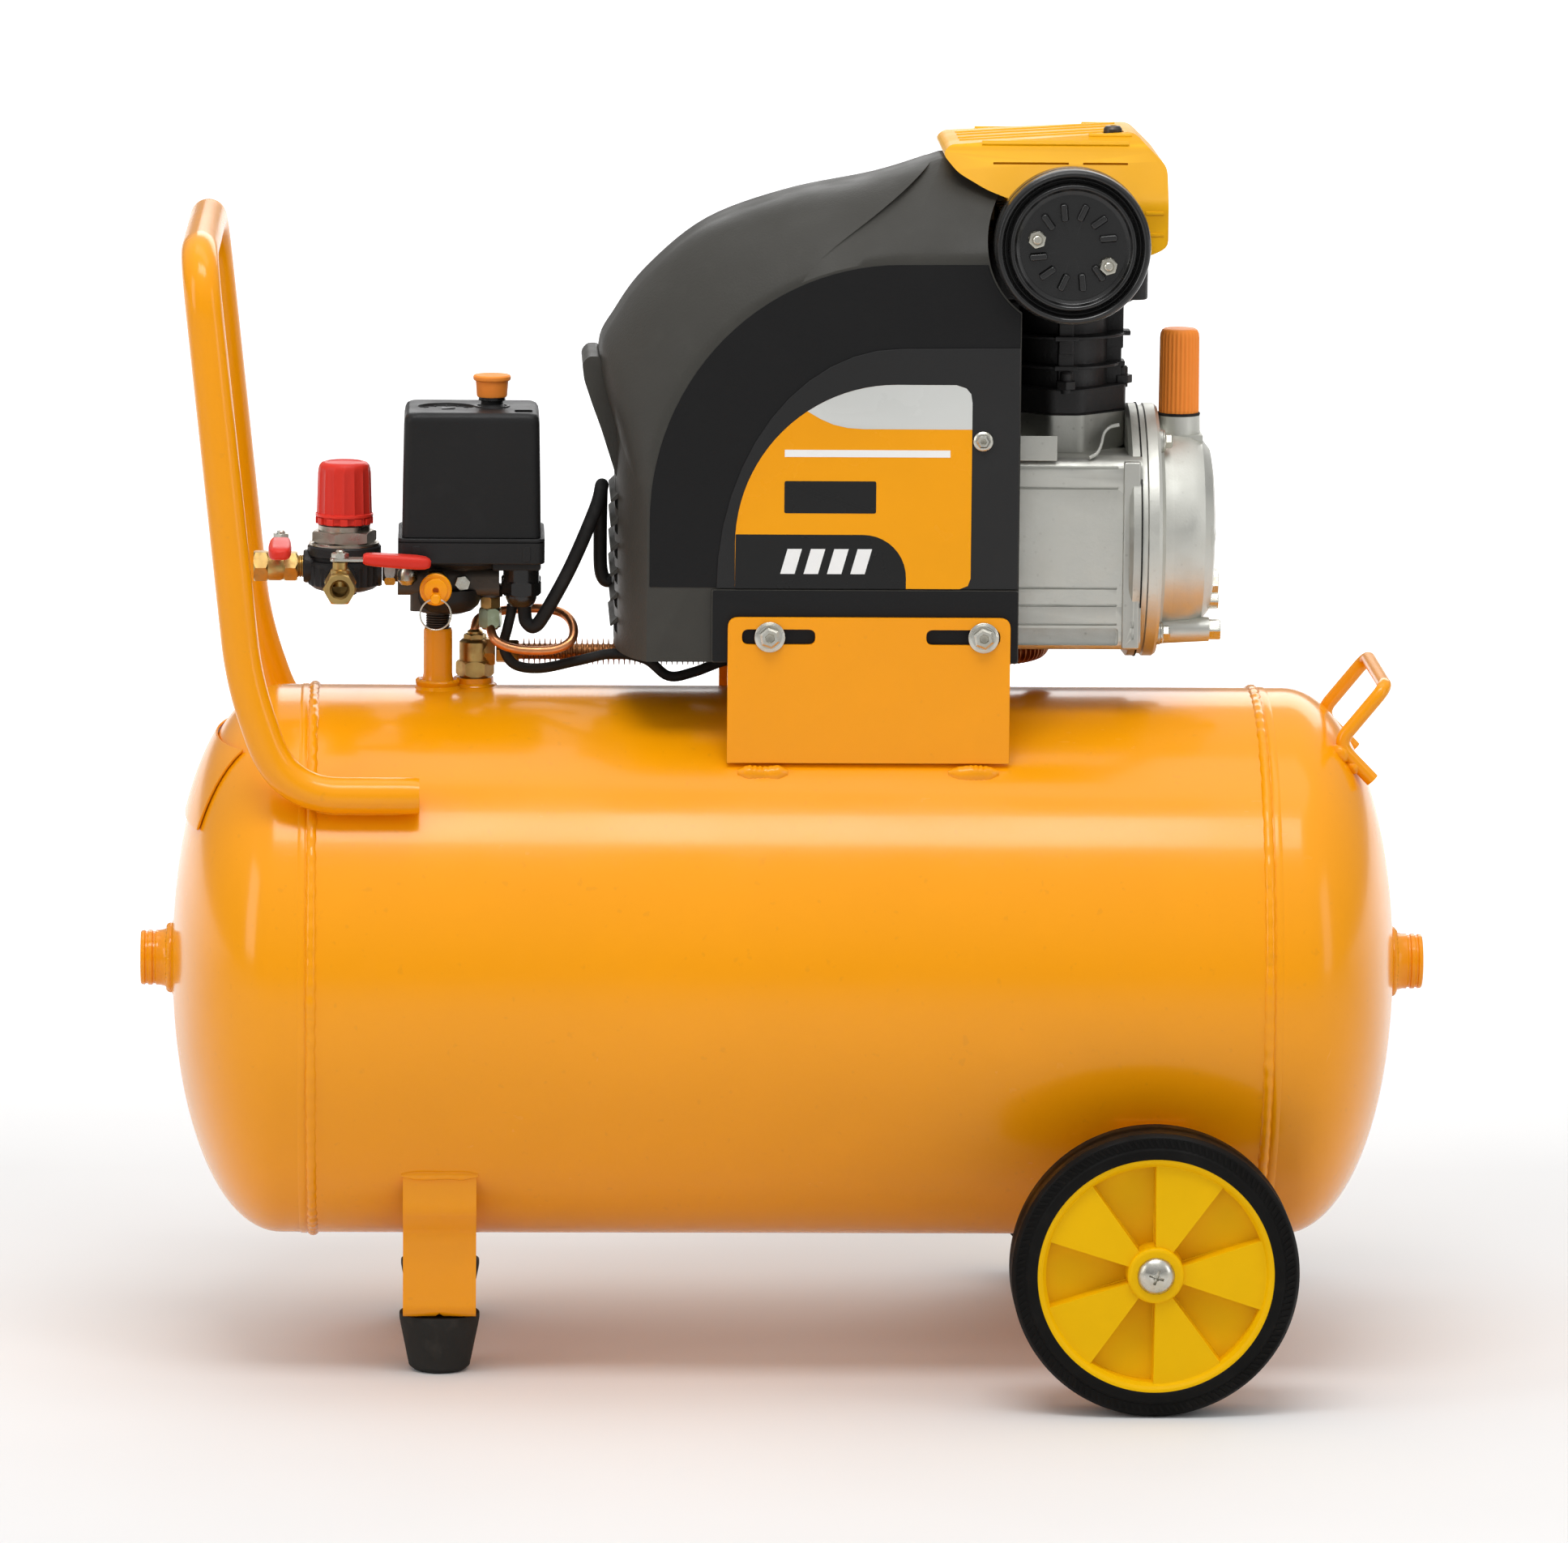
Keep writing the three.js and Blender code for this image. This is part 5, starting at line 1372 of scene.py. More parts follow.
def head_cover():
    """The yellow cover: a hollow block with a notch, grooves and raised ribs."""
    cover = cover_block(0)
    tools = [cover_block(SHEET),
             rod("neck_way", "y", 12, -90, -50, (FILTER_X, 0, FILTER_Z), 40)]
    for side in (-1, 1):
        for start, end in ((112, 154), (162, 187)):
            groove = block("groove", (start, end), (-0.7, 0.7), (-3, 3))
            spun(groove, "x", side * -52)
            tools.append(shifted(groove, 0, side * 52, 681))
    notch = pushed("screw_notch", "z", rectangle(174, 186, -31, -19, 3), 694.2, 705)
    cut(cover, *tools, notch)
    bevelled(cover, 1.6, 3, 26)
    ridges = []
    for side in (-1, 1):
        for y, z, start, end in ((9, 697.2, 94, 184), (23, 697.2, 94, 184), (34.5, 694.9, 94, 164),
                                 (34.5, 694.9, 166, 190), (43, 691.2, 106, 188)):
            ridge = pushed("ridge", "x", rounded([(-2.2, -1.6), (-1.3, 1.1), (1.3, 1.1), (2.2, -1.6)], 0.6),
                           start, end)
            bevelled(ridge, 0.5)
            if y > 28:
                spun(ridge, "x", -side * (24 if y < 40 else 50))
            if end < 185 and y < 40:
                spun(shifted(ridge, 0, 0, -0.5), "y", -ROOF_SLOPE, (191.5, 0, 0))
            ridges.append(shifted(ridge, 0, side * y, z))
        for z in (652, 664):
            ridges.append(block("side_ridge", (196, 206.5), tuple(sorted((side * 66.8, side * 68.6))),
                                (z - 10, z - 8), 0.5))
    surface("head_cover", gathered("head_cover_moulding", [cover, *ridges]), cover_plastic, 30)
    screw = turned("cover_screw", "z", [
        (0, 690), (2.6, 690), (2.6, 694.6), (5.2, 694.6), (5.2, 698), (4, 699.6), (1.4, 699.9), (1.4, 698.4),
        (0, 698.4),
    ], (180, -25, 0), 32, soften=0.4)
    dressed(screw, ROOT, dark_steel)


def air_filter():
    """A turned can with a ring of hooded slots and two nuts."""
    at = (FILTER_X, 0, FILTER_Z)
    front = span("air_filter")[0][1]
    profile = [(0, front + 3.6), (29.5, front + 3.6), (31.6, front + 2.6), (32.8, front + 0.8),
               (33.6, front + 0.4), (34.6, front + 0.6), (35.4, front + 2), (36, front + 5.4),
               (37.6, front + 6.2), (38.6, front + 5), (39.2, front + 1.4), (40.2, front + 0.6),
               (41.6, front + 1), (42.8, front + 2.6), (43.3, front + 5.4), (43.3, front + 11),
               (42, front + 12), (42, front + 13.6), (43.3, front + 14.6), (43.3, front + 24),
               (41.8, front + 25), (41.8, front + 26.6), (42.8, front + 27.4), (40.6, front + 32),
               (12, front + 33), (10.5, front + 34), (10.5, -46.5), (0, -46.5)]
    body = turned("can", "y", profile, at, 128, soften=0.4)
    slots, hoods, nuts = [], [], []
    for angle in (11 + 30 * i for i in range(12) if i not in (5, 11)):
        slot = pushed("slot", "y", rectangle(-4.4, 4.4, -0.9, 0.5, 0.6), front - 1, front + 6)
        bump = pushed("hood", "y", rectangle(-5, 5, -0.4, 3.4, 1.6), front + 0.4, front + 4.4,
                      soften=1.5, segments=3)
        for tool in (slot, bump):
            spun(tool, "y", 6)
            shifted(tool, 19.8, 0, 0)
            spun(tool, "y", -angle)
            shifted(tool, FILTER_X, 0, FILTER_Z)
        slots.append(slot)
        hoods.append(bump)
    cut(body, *slots)
    surface("air_filter", gathered("air_filter_can", [body, *hoods]), gloss_black, 36)
    for x, z in ((-20.2, 4.6), (19.4, -10)):
        place = (FILTER_X + x, 0, FILTER_Z + z)
        cap = pushed("nut", "y", hexagon(5.2, 0.3), front - 1.2, front + 3.8, place, 0.7)
        washer = rod("washer", "y", 4.6, front + 3, front + 3.8, place, 32)
        stud = turned("stud", "y", [(0, front - 2.2), (1.8, front - 2.2), (2.3, front - 1.8),
                                    (2.3, front + 3), (0, front + 3)], place, 20)
        nuts += [cut(cap, turned("way", "y", [(0, front - 3), (2.6, front - 3), (3.3, front - 0.8),
                                              (0, front - 0.7)], place, 24)), washer, stud]
    dressed(gathered("air_filter_nuts", nuts), ROOT, zinc)


# ---- Pipework ----

TANK_TOP = TANK_Z + TANK_R
SIDE_PORT_X = -166.8  # the manifold's port for the unloader tube
VALVE_X, PIPE_Y, PIPE_Z = middle("check_valve")[0], 12, 396


def riser():
    x, y, _ = middle("riser_pipe")
    foot_z = span("riser_pipe")[0][2]
    pipe = turned("pipe", "z", [(4.5, foot_z), (9.4, foot_z), (8.6, foot_z + 2.4), (8.2, foot_z + 5),
                                (8.2, 409.6), (7.6, 411), (4.5, 411)], (x, y, 0), 48, ring=True)
    surface("riser_pipe", pipe, tank_paint)
    dressed(thread("riser_thread", "z", 6.9, 410.4, 420, (x, y, 0)), ROOT, dark_steel)
    ring = [(x + a, y + b, foot_z - 0.6) for a, b in disc(10, 40)]
    painted(weld("riser_weld", ring, lambda p: Vector((p[0] - x, p[1] - y, 12)), 5, 2.6, loop=True, seed=5),
            34)


def check_valve():
    at = (VALVE_X, PIPE_Y, 0)
    body = turned("body", "z", [(0, TANK_TOP - 6), (7.4, TANK_TOP - 6), (7.4, TANK_TOP + 5),
                                (8.8, TANK_TOP + 5.4), (8.8, TANK_TOP + 6.4), (8.6, TANK_TOP + 13.6),
                                (8.9, TANK_TOP + 14.2), (8.9, TANK_TOP + 24.6), (7.4, TANK_TOP + 26),
                                (5.2, TANK_TOP + 26.4), (5.2, TANK_TOP + 29), (0, TANK_TOP + 29)], at, 48)
    hexes = nut("hex", "z", 10.9, TANK_TOP + 5.2, TANK_TOP + 14, at)
    cap = nut("cap", "z", 6.6, TANK_TOP + 24.8, TANK_TOP + 29, at, 0.2)
    arm = rod("arm", "x", 6.8, VALVE_X, -167, (0, PIPE_Y, PIPE_Z), 40)
    end = nut("end", "x", 8.5, -170.4, -163.9, (0, PIPE_Y, PIPE_Z))
    surface("check_valve", gathered("check_valve_parts", [body, hexes, cap, arm, end]), brass)
    dressed(thread("check_valve_thread", "x", 7.5, -173, -168, (0, PIPE_Y, PIPE_Z), 1.2), ROOT,
            brass)


def delivery_pipe():
    """A copper pipe with pressed cooling fins, from the check valve to the head."""
    path = through([(-163.4, PIPE_Y, PIPE_Z), (-120, PIPE_Y, PIPE_Z), (-40, PIPE_Y, PIPE_Z),
                    (40, PIPE_Y, PIPE_Z), (110, PIPE_Y, PIPE_Z), (139, 26, 396.5), (147, 62, 398),
                    (148, 86, 414), (147, 90, 450), (146, 90, 540), (145, 89, 592), (144, 76, 617),
                    (143, 56, 620), (143, 46.4, 620)], 16)
    total = length_of(path)
    pitch, core, rim_radius = 3.0, 4.4, 7.35
    first, last = 14, total - 10
    places, radii = [0, first], [core, core]
    place = first + 1
    while place < last:
        for ahead, radius in ((0, core), (0.25, core + 0.4), (0.45, rim_radius), (0.95, rim_radius),
                              (1.15, core + 0.4), (1.4, core)):
            places.append(place + ahead)
            radii.append(radius)
        place += pitch
    places += [last + 4, total]
    radii += [core, core]
    pipe = swept("pipe", along(path, places), radii, 20)
    surface("delivery_pipe", pipe, finned_copper, 28)
    ends = []
    for start, back in ((0, 13), (total - 9, 8.6)):
        places = [start, start + 1, start + back - 1, start + back]
        ends.append(swept("flare", along(path, places), [6.4, 7, 7, 6.2], 6))
    dressed(gathered("pipe_nuts", ends), ROOT, brass)


def unloader_tube():
    x = SIDE_PORT_X
    path = through([
        (x, 0, 420.2), (x, -0.2, 417.4), (-166.6, -4.5, 411.5), (-163, -11.5, 405), (-151, -12.5, 400.6),
        (-132, -11.5, 400.3), (-121.5, -9.5, 405), (-120, -2, 412.5), (-126, 8, 418.5), (-140, 14.5, 420.3),
        (-160, 16, 418.6), (-172.5, 15, 414.8), (VALVE_X, PIPE_Y, 409.5), (VALVE_X, PIPE_Y, 406.2),
    ], 10)
    surface("unloader_tube", swept("tube", path, 2.6, 20), copper)
    nuts = [nut("nut", "z", 6.8, 411.6, 422.6, (x, 0, 0), 0.3)]
    dressed(gathered("unloader_nuts", nuts), ROOT, green_zinc)
    collars = [turned("collar", "z", [(0, 410.4), (4.4, 410.4), (5, 411.6), (0, 411.6)], (x, 0, 0), 32),
               nut("fitting", "z", 6.2, 422.6, 429.4, (x, 0, 0), 0.6),
               turned("olive", "z", [(2.4, 405.6), (4.4, 405.6), (4.4, 407.4), (2.4, 409)],
                      (VALVE_X, PIPE_Y, 0), 32, ring=True)]
    dressed(gathered("unloader_collars", collars), ROOT, brass)


# ---- Pressure switch ----

SWITCH_X = middle("switch_base")[0]
SAFETY_X, _, MANIFOLD_Z = middle("safety_valve")


def manifold():
    """The iron block under the pressure switch, with its plugs and fittings."""
    x_riser = middle("riser_pipe")[0]
    bar_part = pushed("bar", "x", rounded([(-9, 430.6), (9, 430.6), (11, 434), (11, 443), (8, 446.4),
                                           (-8, 446.4), (-11, 443), (-11, 434)], 2.4), -219, -161.8)
    foot_part = pushed("foot", "z", rectangle(-212, -183, -10, 10, 4), 421.6, 436)
    collar = turned("collar", "z", [(0, 420.3), (10, 420.3), (10.6, 421.4), (10.6, 425.6), (9.4, 427),
                                    (0, 427)], (x_riser, 0, 0), 48)
    neck = turned("neck", "z", [(0, 444), (9.4, 444), (8, 448), (8, 451.7), (0, 451.7)], (x_riser, 0, 0), 40)
    nose = turned("nose", "x", [(0, -227.7), (5.8, -227.7), (6.6, -226.8), (6.6, -219), (8.4, -216),
                                (0, -216)], (0, 0, MANIFOLD_Z + 5.5), 40)
    lug = rod("lug", "z", 7, 429.2, 436, (SIDE_PORT_X, 0, 0), 36)
    bowl = turned("bowl", "z", [(0, 419.8), (9, 419.8), (14, 421.4), (17.6, 424.6), (19.2, 429), (19.2, 434),
                                (0, 434)], (-191, 0, 0), 72)
    dressed(bowl, ROOT, black_plastic)
    boss = turned("boss", "y", [(0, -11.2), (7.4, -11.2), (8.6, -10), (8.6, 10), (7.4, 11.2), (0, 11.2)],
                  (SAFETY_X, 0, MANIFOLD_Z), 40)
    fused(bar_part, foot_part, collar, neck, nose, lug, boss)
    surface("manifold", bevelled(bar_part, 0.9, 3, 30), grey_iron, 34)
    ring = nut("nut", "x", 8.6, -226.6, -220.4, (0, 0, MANIFOLD_Z + 5.5), 0.4)
    ball = turned("ball", "z", [(0, 436.6), (3.6, 437.4), (5.6, 440), (5.6, 444.6), (3.6, 447.6), (0, 448.4)],
                  (-213.6, -12.6, 0), 36)
    plug = pushed("plug", "y", hexagon(4.6, 0.2), -14.4, -10.8, (-182.5, 0, 438.3), 0.5)
    dressed(gathered("manifold_fittings", [ring, ball, plug]), ROOT, zinc)
    diaphragm = turned("switch_diaphragm", "z", [
        (0, 445.6), (17, 445.6), (22, 447.4), (24.4, 449.6), (24.4, 452.2), (0, 452.2),
    ], (SWITCH_X - 4, 0, 0), 72)
    dressed(diaphragm, ROOT, black_plastic)


def switch_base():
    """The switch's base plate with its groove, posts and two cable glands."""
    plate = pushed("plate", "z", rectangle(-41.2, 41.2, -37, 37, 6), 452.2, 466.6, (SWITCH_X, 0, 0), 0.9, 3)
    groove = pushed("groove", "z", rectangle(-50, 50, -50, 50, 5), 464.1, 464.9, (SWITCH_X, 0, 0))
    island = pushed("island", "z", rectangle(-40.4, 40.4, -36.2, 36.2, 6), 463, 466, (SWITCH_X, 0, 0))
    cut(groove, island)
    cut(plate, groove)
    posts = [block("post", (x - 2.4, x + 2.4), (-37.5, -30), (453.6, 462.6), 0.8)
             for x in (SWITCH_X - 31, SWITCH_X + 31)]
    shoulder = block("shoulder", (-166, -138.4), (-22, 22), (446.4, 453.4), 1.6)
    surface("switch_base", gathered("switch_base_moulding", [plate, shoulder, *posts]), black_plastic)
    glands = []
    for y in (-11.2, 11.2):
        at = (-149.4, y, 0)
        glands.append(rod("gland", "z", 10.2, 439, 447, at, 48))
        glands.append(nut("gland_nut", "z", 11.2, 431.4, 440.2, at))
        glands.append(turned("gland_dome", "z", [(0, 425.2), (5.8, 425.2), (7.6, 427), (8.8, 430), (8.8, 432),
                                                 (0, 432)], at, 48))
    dressed(gathered("switch_glands", glands), ROOT, gloss_black)


def switch_cover():
    """The switch's hollow cover with its dial and the well for the knob."""
    bottom, top = 467, 537
    dial_x, knob_x = SWITCH_X - 14.4, SWITCH_X + 11.3

    def row(grow, z):
        outline = rectangle(-39 - grow, 39 + grow, -35 - grow, 35 + grow, 6, steps=6)
        return [(SWITCH_X + x, y, z) for x, y in outline]

    shell = rings("shell", [row(0, bottom), row(0, bottom + 0.6), row(-0.4, bottom + 30), row(-1.0, top - 6),
                            row(-1.5, top - 3), row(-2.6, top - 1), row(-4.4, top)])
    inner = pushed("inner", "z", rectangle(-36, 36, -32, 32, 4), bottom - 5, top - 3.2, (SWITCH_X, 0, 0))
    dial = turned("dial", "z", [(0, top - 1.5), (15.4, top - 1.5), (16, top - 0.6), (16, top + 5),
                                (0, top + 5)], (dial_x, 0, 0), 72)
    stem_way = rod("stem_way", "z", 8.1, top - 10, top + 5, (knob_x, 0, 0), 48)
    recess = pushed("recess", "z", rectangle(SWITCH_X + 24, SWITCH_X + 34, -27, -15, 2), top - 1.3, top + 4)
    hole = rod("hole", "z", 2.6, top - 2.6, top + 3, (SWITCH_X + 29, -21, 0), 32)
    cut(shell, inner, dial, stem_way, recess, hole)
    bevelled(shell, 0.5, 2, 40)
    marks = [rod("arrow", "z", 5, top - 1.4, top - 0.9, (dial_x, 0, 0), 3)]
    for i in range(12):
        mark = block("mark", (11.6, 14.4), (-0.3, 0.3), (top - 1.7, top - 1.1))
        marks.append(shifted(spun(mark, "z", 30 * i), dial_x, 0, 0))
    ring = turned("ring", "z", [(8.2, top - 0.2), (10.4, top - 0.2), (10, top + 0.7), (8.6, top + 0.7)],
                  (knob_x, 0, 0), 56, ring=True)
    surface("switch_cover", gathered("switch_cover_moulding", [shell, *marks, ring]), black_plastic)


def switch_knob():
    at = (SWITCH_X + 11.3, 0, 0)
    stem = turned("knob_stem", "z", [(0, 520), (7.2, 520), (7.2, 537.5), (6.2, 538.5), (6.2, 543), (0, 543)],
                  at, 48)
    dressed(stem, "switch_knob", black_plastic)
    collar = rod("knob_collar", "z", 7.6, 540.6, 543, at, 48, soften=0.3)
    dressed(collar, "switch_knob", gloss_black)
    cap = turned("knob", "z", [(0, 542.6), (8.2, 542.6), (8.6, 543.4), (9.1, 550.6), (9.3, 551.6),
                               (10.2, 552.0), (10.6, 552.7), (10.6, 554.2), (9.9, 555), (4, 555.1),
                               (0, 555.1)], at, 64)
    surface("switch_knob", cap, orange_plastic, 30)


# ---- Regulator and valves ----

REGULATOR_X = middle("regulator_body")[0]
FRONT_VALVE_X, FRONT_VALVE_Z = round(middle("front_valve_body")[0], 3), 441
SIDE_VALVE_Z = 445.9


def regulator_body():
    """The ribbed bowl with three ports, and the nut ring under the knob."""
    at = (REGULATOR_X, 0, 0)
    ribs = fluted(20.8, 0.9, 28, 0.5)
    bowl = grip("bowl", ribs, [(432.2, 8.2, 1), (433.6, 4, 1), (436, 0.6, 1), (437.2, 0, 0), (446, 0, 0),
                               (447.4, 0.2, 1), (448.8, 0.2, 1)], at)
    upper = turned("upper", "z", [(0, 447.6), (20.2, 447.6), (20.2, 449.4), (18.6, 450), (18.6, 452),
                                  (20.4, 452.6), (20.8, 453.4), (20.8, 457.4), (20.2, 458.2), (0, 458.2)],
                   at, 96)
    front_boss = turned("front_boss", "y", [(0, -23), (8.8, -23), (9.4, -22), (9.4, 0), (0, 0)],
                        (FRONT_VALVE_X, 0, FRONT_VALVE_Z), 40)
    left_boss = turned("left_boss", "x", [(0, -272.2), (8.8, -272.2), (9.4, -271), (9.4, -250), (0, -250)],
                       (0, 0, SIDE_VALVE_Z), 40)
    right_boss = turned("right_boss", "x", [(0, -250), (9.2, -250), (9.2, -229.2), (8.6, -228), (0, -228)],
                        (0, 0, 443.8), 40)
    plug = nut("plug", "z", 7, 429.8, 433.4, at)
    surface("regulator_body", gathered("regulator_casting", [bowl, upper, front_boss, left_boss, right_boss,
                                                             plug]), black_plastic)
    washer = turned("washer", "z", [(0, 458.2), (19.6, 458.2), (19.8, 458.8), (19.6, 459.8), (0, 459.8)],
                    at, 96)
    ring = nut("ring", "z", 18.6, 459.8, 466.6, at, 0.24)
    collar = rod("collar", "z", 14.6, 466, 469.6, at, 72)
    stem = rod("stem", "z", 4.5, 469, 480, at, 32)
    dressed(gathered("regulator_ring", [washer, ring, collar, stem]), ROOT, ring_zinc)


def regulator_knob():
    at = (REGULATOR_X, 0, 0)
    ribs = fluted(15.6, 0.8, 16, 0.35)
    body = grip("knob", ribs, [(470.4, 0.5, 0), (471, 0, 0), (474, 0, 0), (499, 0.7, 0), (501.6, 1.0, 0.6),
                               (503.6, 1.6, 1), (504.9, 2.8, 1), (505.5, 4.6, 1)], at)
    dish = turned("dish", "z", [(0, 504.9), (7, 504.9), (9.4, 505.2), (10, 506.4), (0, 506.4)], at, 64)
    bore_way = rod("bore_way", "z", 5, 460, 481, at, 40)
    cut(body, dish, bore_way)
    teeth = [shifted(spun(block("tooth", (14.2, 16.2), (-2.2, 2.2), (470.4, 474.4), 0.5), "z", 30 * i), *at)
             for i in range(12)]
    rim_ring = turned("rim_ring", "z", [(14.4, 474.6), (16.3, 474.8), (16.3, 476.2), (14.4, 476.6)], at,
                      72, ring=True)
    surface("regulator_knob", gathered("regulator_knob_grip", [body, *teeth, rim_ring]), red_plastic, 36)


def ball_valve(node, at, stem_at, outlet, turn):
    """A small ball valve built along -Y from its thread, then turned to -X where turn says so."""
    parts = [thread("thread", "y", 6.4, -3.4, 2, (0, 0, 0), 1.1),
             nut("inlet_hex", "y", 9.0, -10.6, -3, (0, 0, 0)),
             turned("body", "y", [(0, outlet + 6), (7.2, outlet + 6), (8.3, outlet + 9), (8.3, -13),
                                  (7.4, -10), (0, -10)], (0, 0, 0), 56),
             turned("gland", "z", [(0, 0), (5.4, 0), (5.4, 8.8), (4.2, 9.6), (4.2, 13.4), (0, 13.4)],
                    (0, stem_at, 0), 40)]
    end = nut("outlet_hex", "y", 9.4, outlet, outlet + 8, (0, 0, 0))
    way = turned("way", "y", [(0, outlet - 1), (6.4, outlet - 1), (4.4, outlet + 1.6), (4.4, outlet + 17),
                              (0, outlet + 17)], (0, 0, 0), 40)
    way_body = copied("way_body", way)
    cut(end, way)
    cut(parts[2], way_body)
    body = gathered(f"{node}_parts", [*parts, end])
    if turn:
        spun(body, "z", -90)
    surface(node, shifted(body, *at), brass)


def lever(node, at, turn):
    """A steel strip with a step in its neck, a dipped grip and the nut that holds it."""
    outline = rounded([(-5.6, -5), (9, -5), (15, -3.9), (24, -3.9), (24, 3.9), (15, 3.9), (9, 5), (-5.6, 5)],
                      3.2, steps=5)
    strip = pushed("strip", "z", outline, 0.1, 1.7, soften=0.35)
    head_nut = nut("nut", "z", 4.9, 1.6, 4.6, (0, 0, 0))
    tip = turned("tip", "z", [(0, 4), (2.4, 4), (2.4, 5.6), (1.9, 6.2), (0, 6.2)], (0, 0, 0), 24)
    metal = gathered(f"{node}_strip", [strip, head_nut, tip])
    rows = []
    for x, half, low, high in ((12.6, 3.6, -0.2, 2.6), (13, 4.6, -1.1, 3.6), (14.6, 5.4, -1.8, 4.4),
                               (20, 6.0, -2.3, 4.8), (32, 6.5, -2.5, 5), (43, 6.3, -2.5, 5),
                               (47.6, 5.6, -2.2, 4.6), (50, 3.8, -1.4, 3.6), (50.9, 1.6, -0.2, 2.4)):
        section = rectangle(-half, half, low, high, min(half, (high - low) / 2) * 0.85, steps=6)
        rows.append([(x, y, z) for y, z in section])
    handle = rings(f"{node}_grip", rows)
    spun(handle, "y", 3.5, (13, 0, 1.5))
    for obj in (metal, handle):
        if turn:
            spun(obj, "z", -90)
        shifted(obj, *at)
    dressed(metal, BODY_OF[node], zinc)
    surface(node, handle, red_plastic, 40)


def valve_with_lever(side, at, stem_at, outlet, turn):
    x, y, z = at
    ball_valve(f"{side}_valve_body", at, stem_at, outlet, turn)
    lever(f"{side}_valve_lever", (x + stem_at, y, z + 14) if turn else (x, y + stem_at, z + 14), turn)


def safety_valve():
    at = (SAFETY_X, 0, MANIFOLD_Z)
    body = turned("body", "y", [(0, -11.3), (6.4, -11.3), (6.4, -20), (6, -21), (6.5, -22), (6.5, -36.6),
                                (8.4, -37.2), (9, -38), (9, -40.4), (8.4, -41), (5.6, -41.2), (5.2, -41.6),
                                (5.2, -42.4), (6.4, -42.8), (6.8, -43.4), (6.6, -44.6), (6, -45), (2, -45),
                                (1.7, -44.6), (1.7, -42), (0, -41.8)], at, 56)
    plug = turned("plug", "y", [(0, -44), (3, -44), (3, -53), (2.2, -54), (0, -54)],
                  (at[0], 0, at[2] - 4), 32)
    way = rod("way", "x", 1.8, -5, 5, (at[0], -50, at[2] - 4), 24)
    cut(plug, way)
    surface("safety_valve", gathered("safety_valve_cap", [body, plug]), tank_paint)
    dressed(nut("safety_valve_hex", "y", 8, -19.6, -12, at), ROOT, brass)


def safety_ring():
    """A split ring: nearly two turns of wire side by side."""
    x, y, z = middle("safety_ring")
    radius, parts = 8.7, 72
    loop = []
    for i in range(parts + 1):
        angle = -TAU * 0.25 + TAU * 2 * i / (parts + 1) * 0.94
        drift = (i / parts - 0.5) * 0.7
        loop.append((x + radius * math.cos(angle), y + drift, z + radius * math.sin(angle)))
    surface("safety_ring", swept("ring", loop, 0.5, 12), zinc)


# ---- Gauges ----


def gauge(node, radius):
    """A gauge that faces the rear: case, bezel, dial with ticks, a lens and its needle."""
    x, _, z = middle(node)
    start, front = span(node)[0][1], span(node)[1][1]
    back = front - 12
    case = turned("case", "y", [(0, start), (4.4, start), (4.4, back - 1.4), (5.6, back - 1),
                                (radius - 4, back - 1), (radius - 1.4, back + 0.6), (radius - 0.4, back + 3),
                                (radius - 0.4, front - 4.4), (radius, front - 3.8), (radius, front - 0.8),
                                (radius - 0.8, front), (radius - 2, front), (radius - 2, front - 3.6),
                                (0, front - 3.6)], (x, 0, z), 80)
    square = pushed("square", "y", rectangle(-4.6, 4.6, -4.6, 4.6, 0.8), start + 0.2,
                    min(back - 1, start + 8), (x, 0, z))
    surface(node, gathered(f"{node}_case", [case, square]), black_plastic, 30)
    dial = rod(f"{node}_dial", "y", radius - 2.1, front - 3.7, front - 3.3, (x, 0, z), 72)
    dressed(dial, ROOT, label_white)

    def arc(name, share, y, angles, thickness):
        """A line round part of the dial."""
        points = [(x - radius * share * math.cos(math.radians(a)), y,
                   z + radius * share * math.sin(math.radians(a))) for a in angles]
        return swept(name, points, thickness, 8)

    ticks = []
    for i in range(41):
        start_at, half = (0.66, 0.28) if i % 5 == 0 else (0.73, 0.12)
        tick = block("tick", (radius * start_at, radius * 0.8), (-half, half), (-0.05, 0.12))
        spun(tick, "x", 90)
        spun(tick, "y", 180 + 225 - 270 * i / 40)
        ticks.append(shifted(tick, x, front - 3.25, z))
    ticks.append(arc("arc", 0.83, front - 3.28, [225 - 270 * i / 60 for i in range(61)], 0.16))
    dressed(gathered(f"{node}_ticks", ticks), ROOT, label_black)
    dressed(arc(f"{node}_limit", 0.7, front - 3.26, range(-45, 10, 3), 0.3), ROOT, red_plastic)
    lens = turned(f"{node}_lens", "y", [(0, front - 1.1), (radius - 2.05, front - 1.1),
                                        (radius - 2.05, front - 0.5), (0, front - 0.2)], (x, 0, z), 72)
    dressed(lens, ROOT, clear_lens)
    hub = turned("hub", "y", [(0, front - 3.2), (2, front - 3.2), (2, front - 2), (1.5, front - 1.6),
                              (0, front - 1.6)], (0, 0, 0), 40)
    pointer = pushed("pointer", "y", [(-0.75, -5), (0.75, -5), (0.55, 0), (0.12, radius - 5),
                                      (-0.12, radius - 5), (-0.55, 0)], front - 2.9, front - 2.3)
    spun(pointer, "y", 135)
    obj = shifted(gathered(f"{node}_needle_hand", [hub, pointer]), x, 0, z)
    surface(f"{node}_needle", obj, black_plastic)


# ---- Drain ----


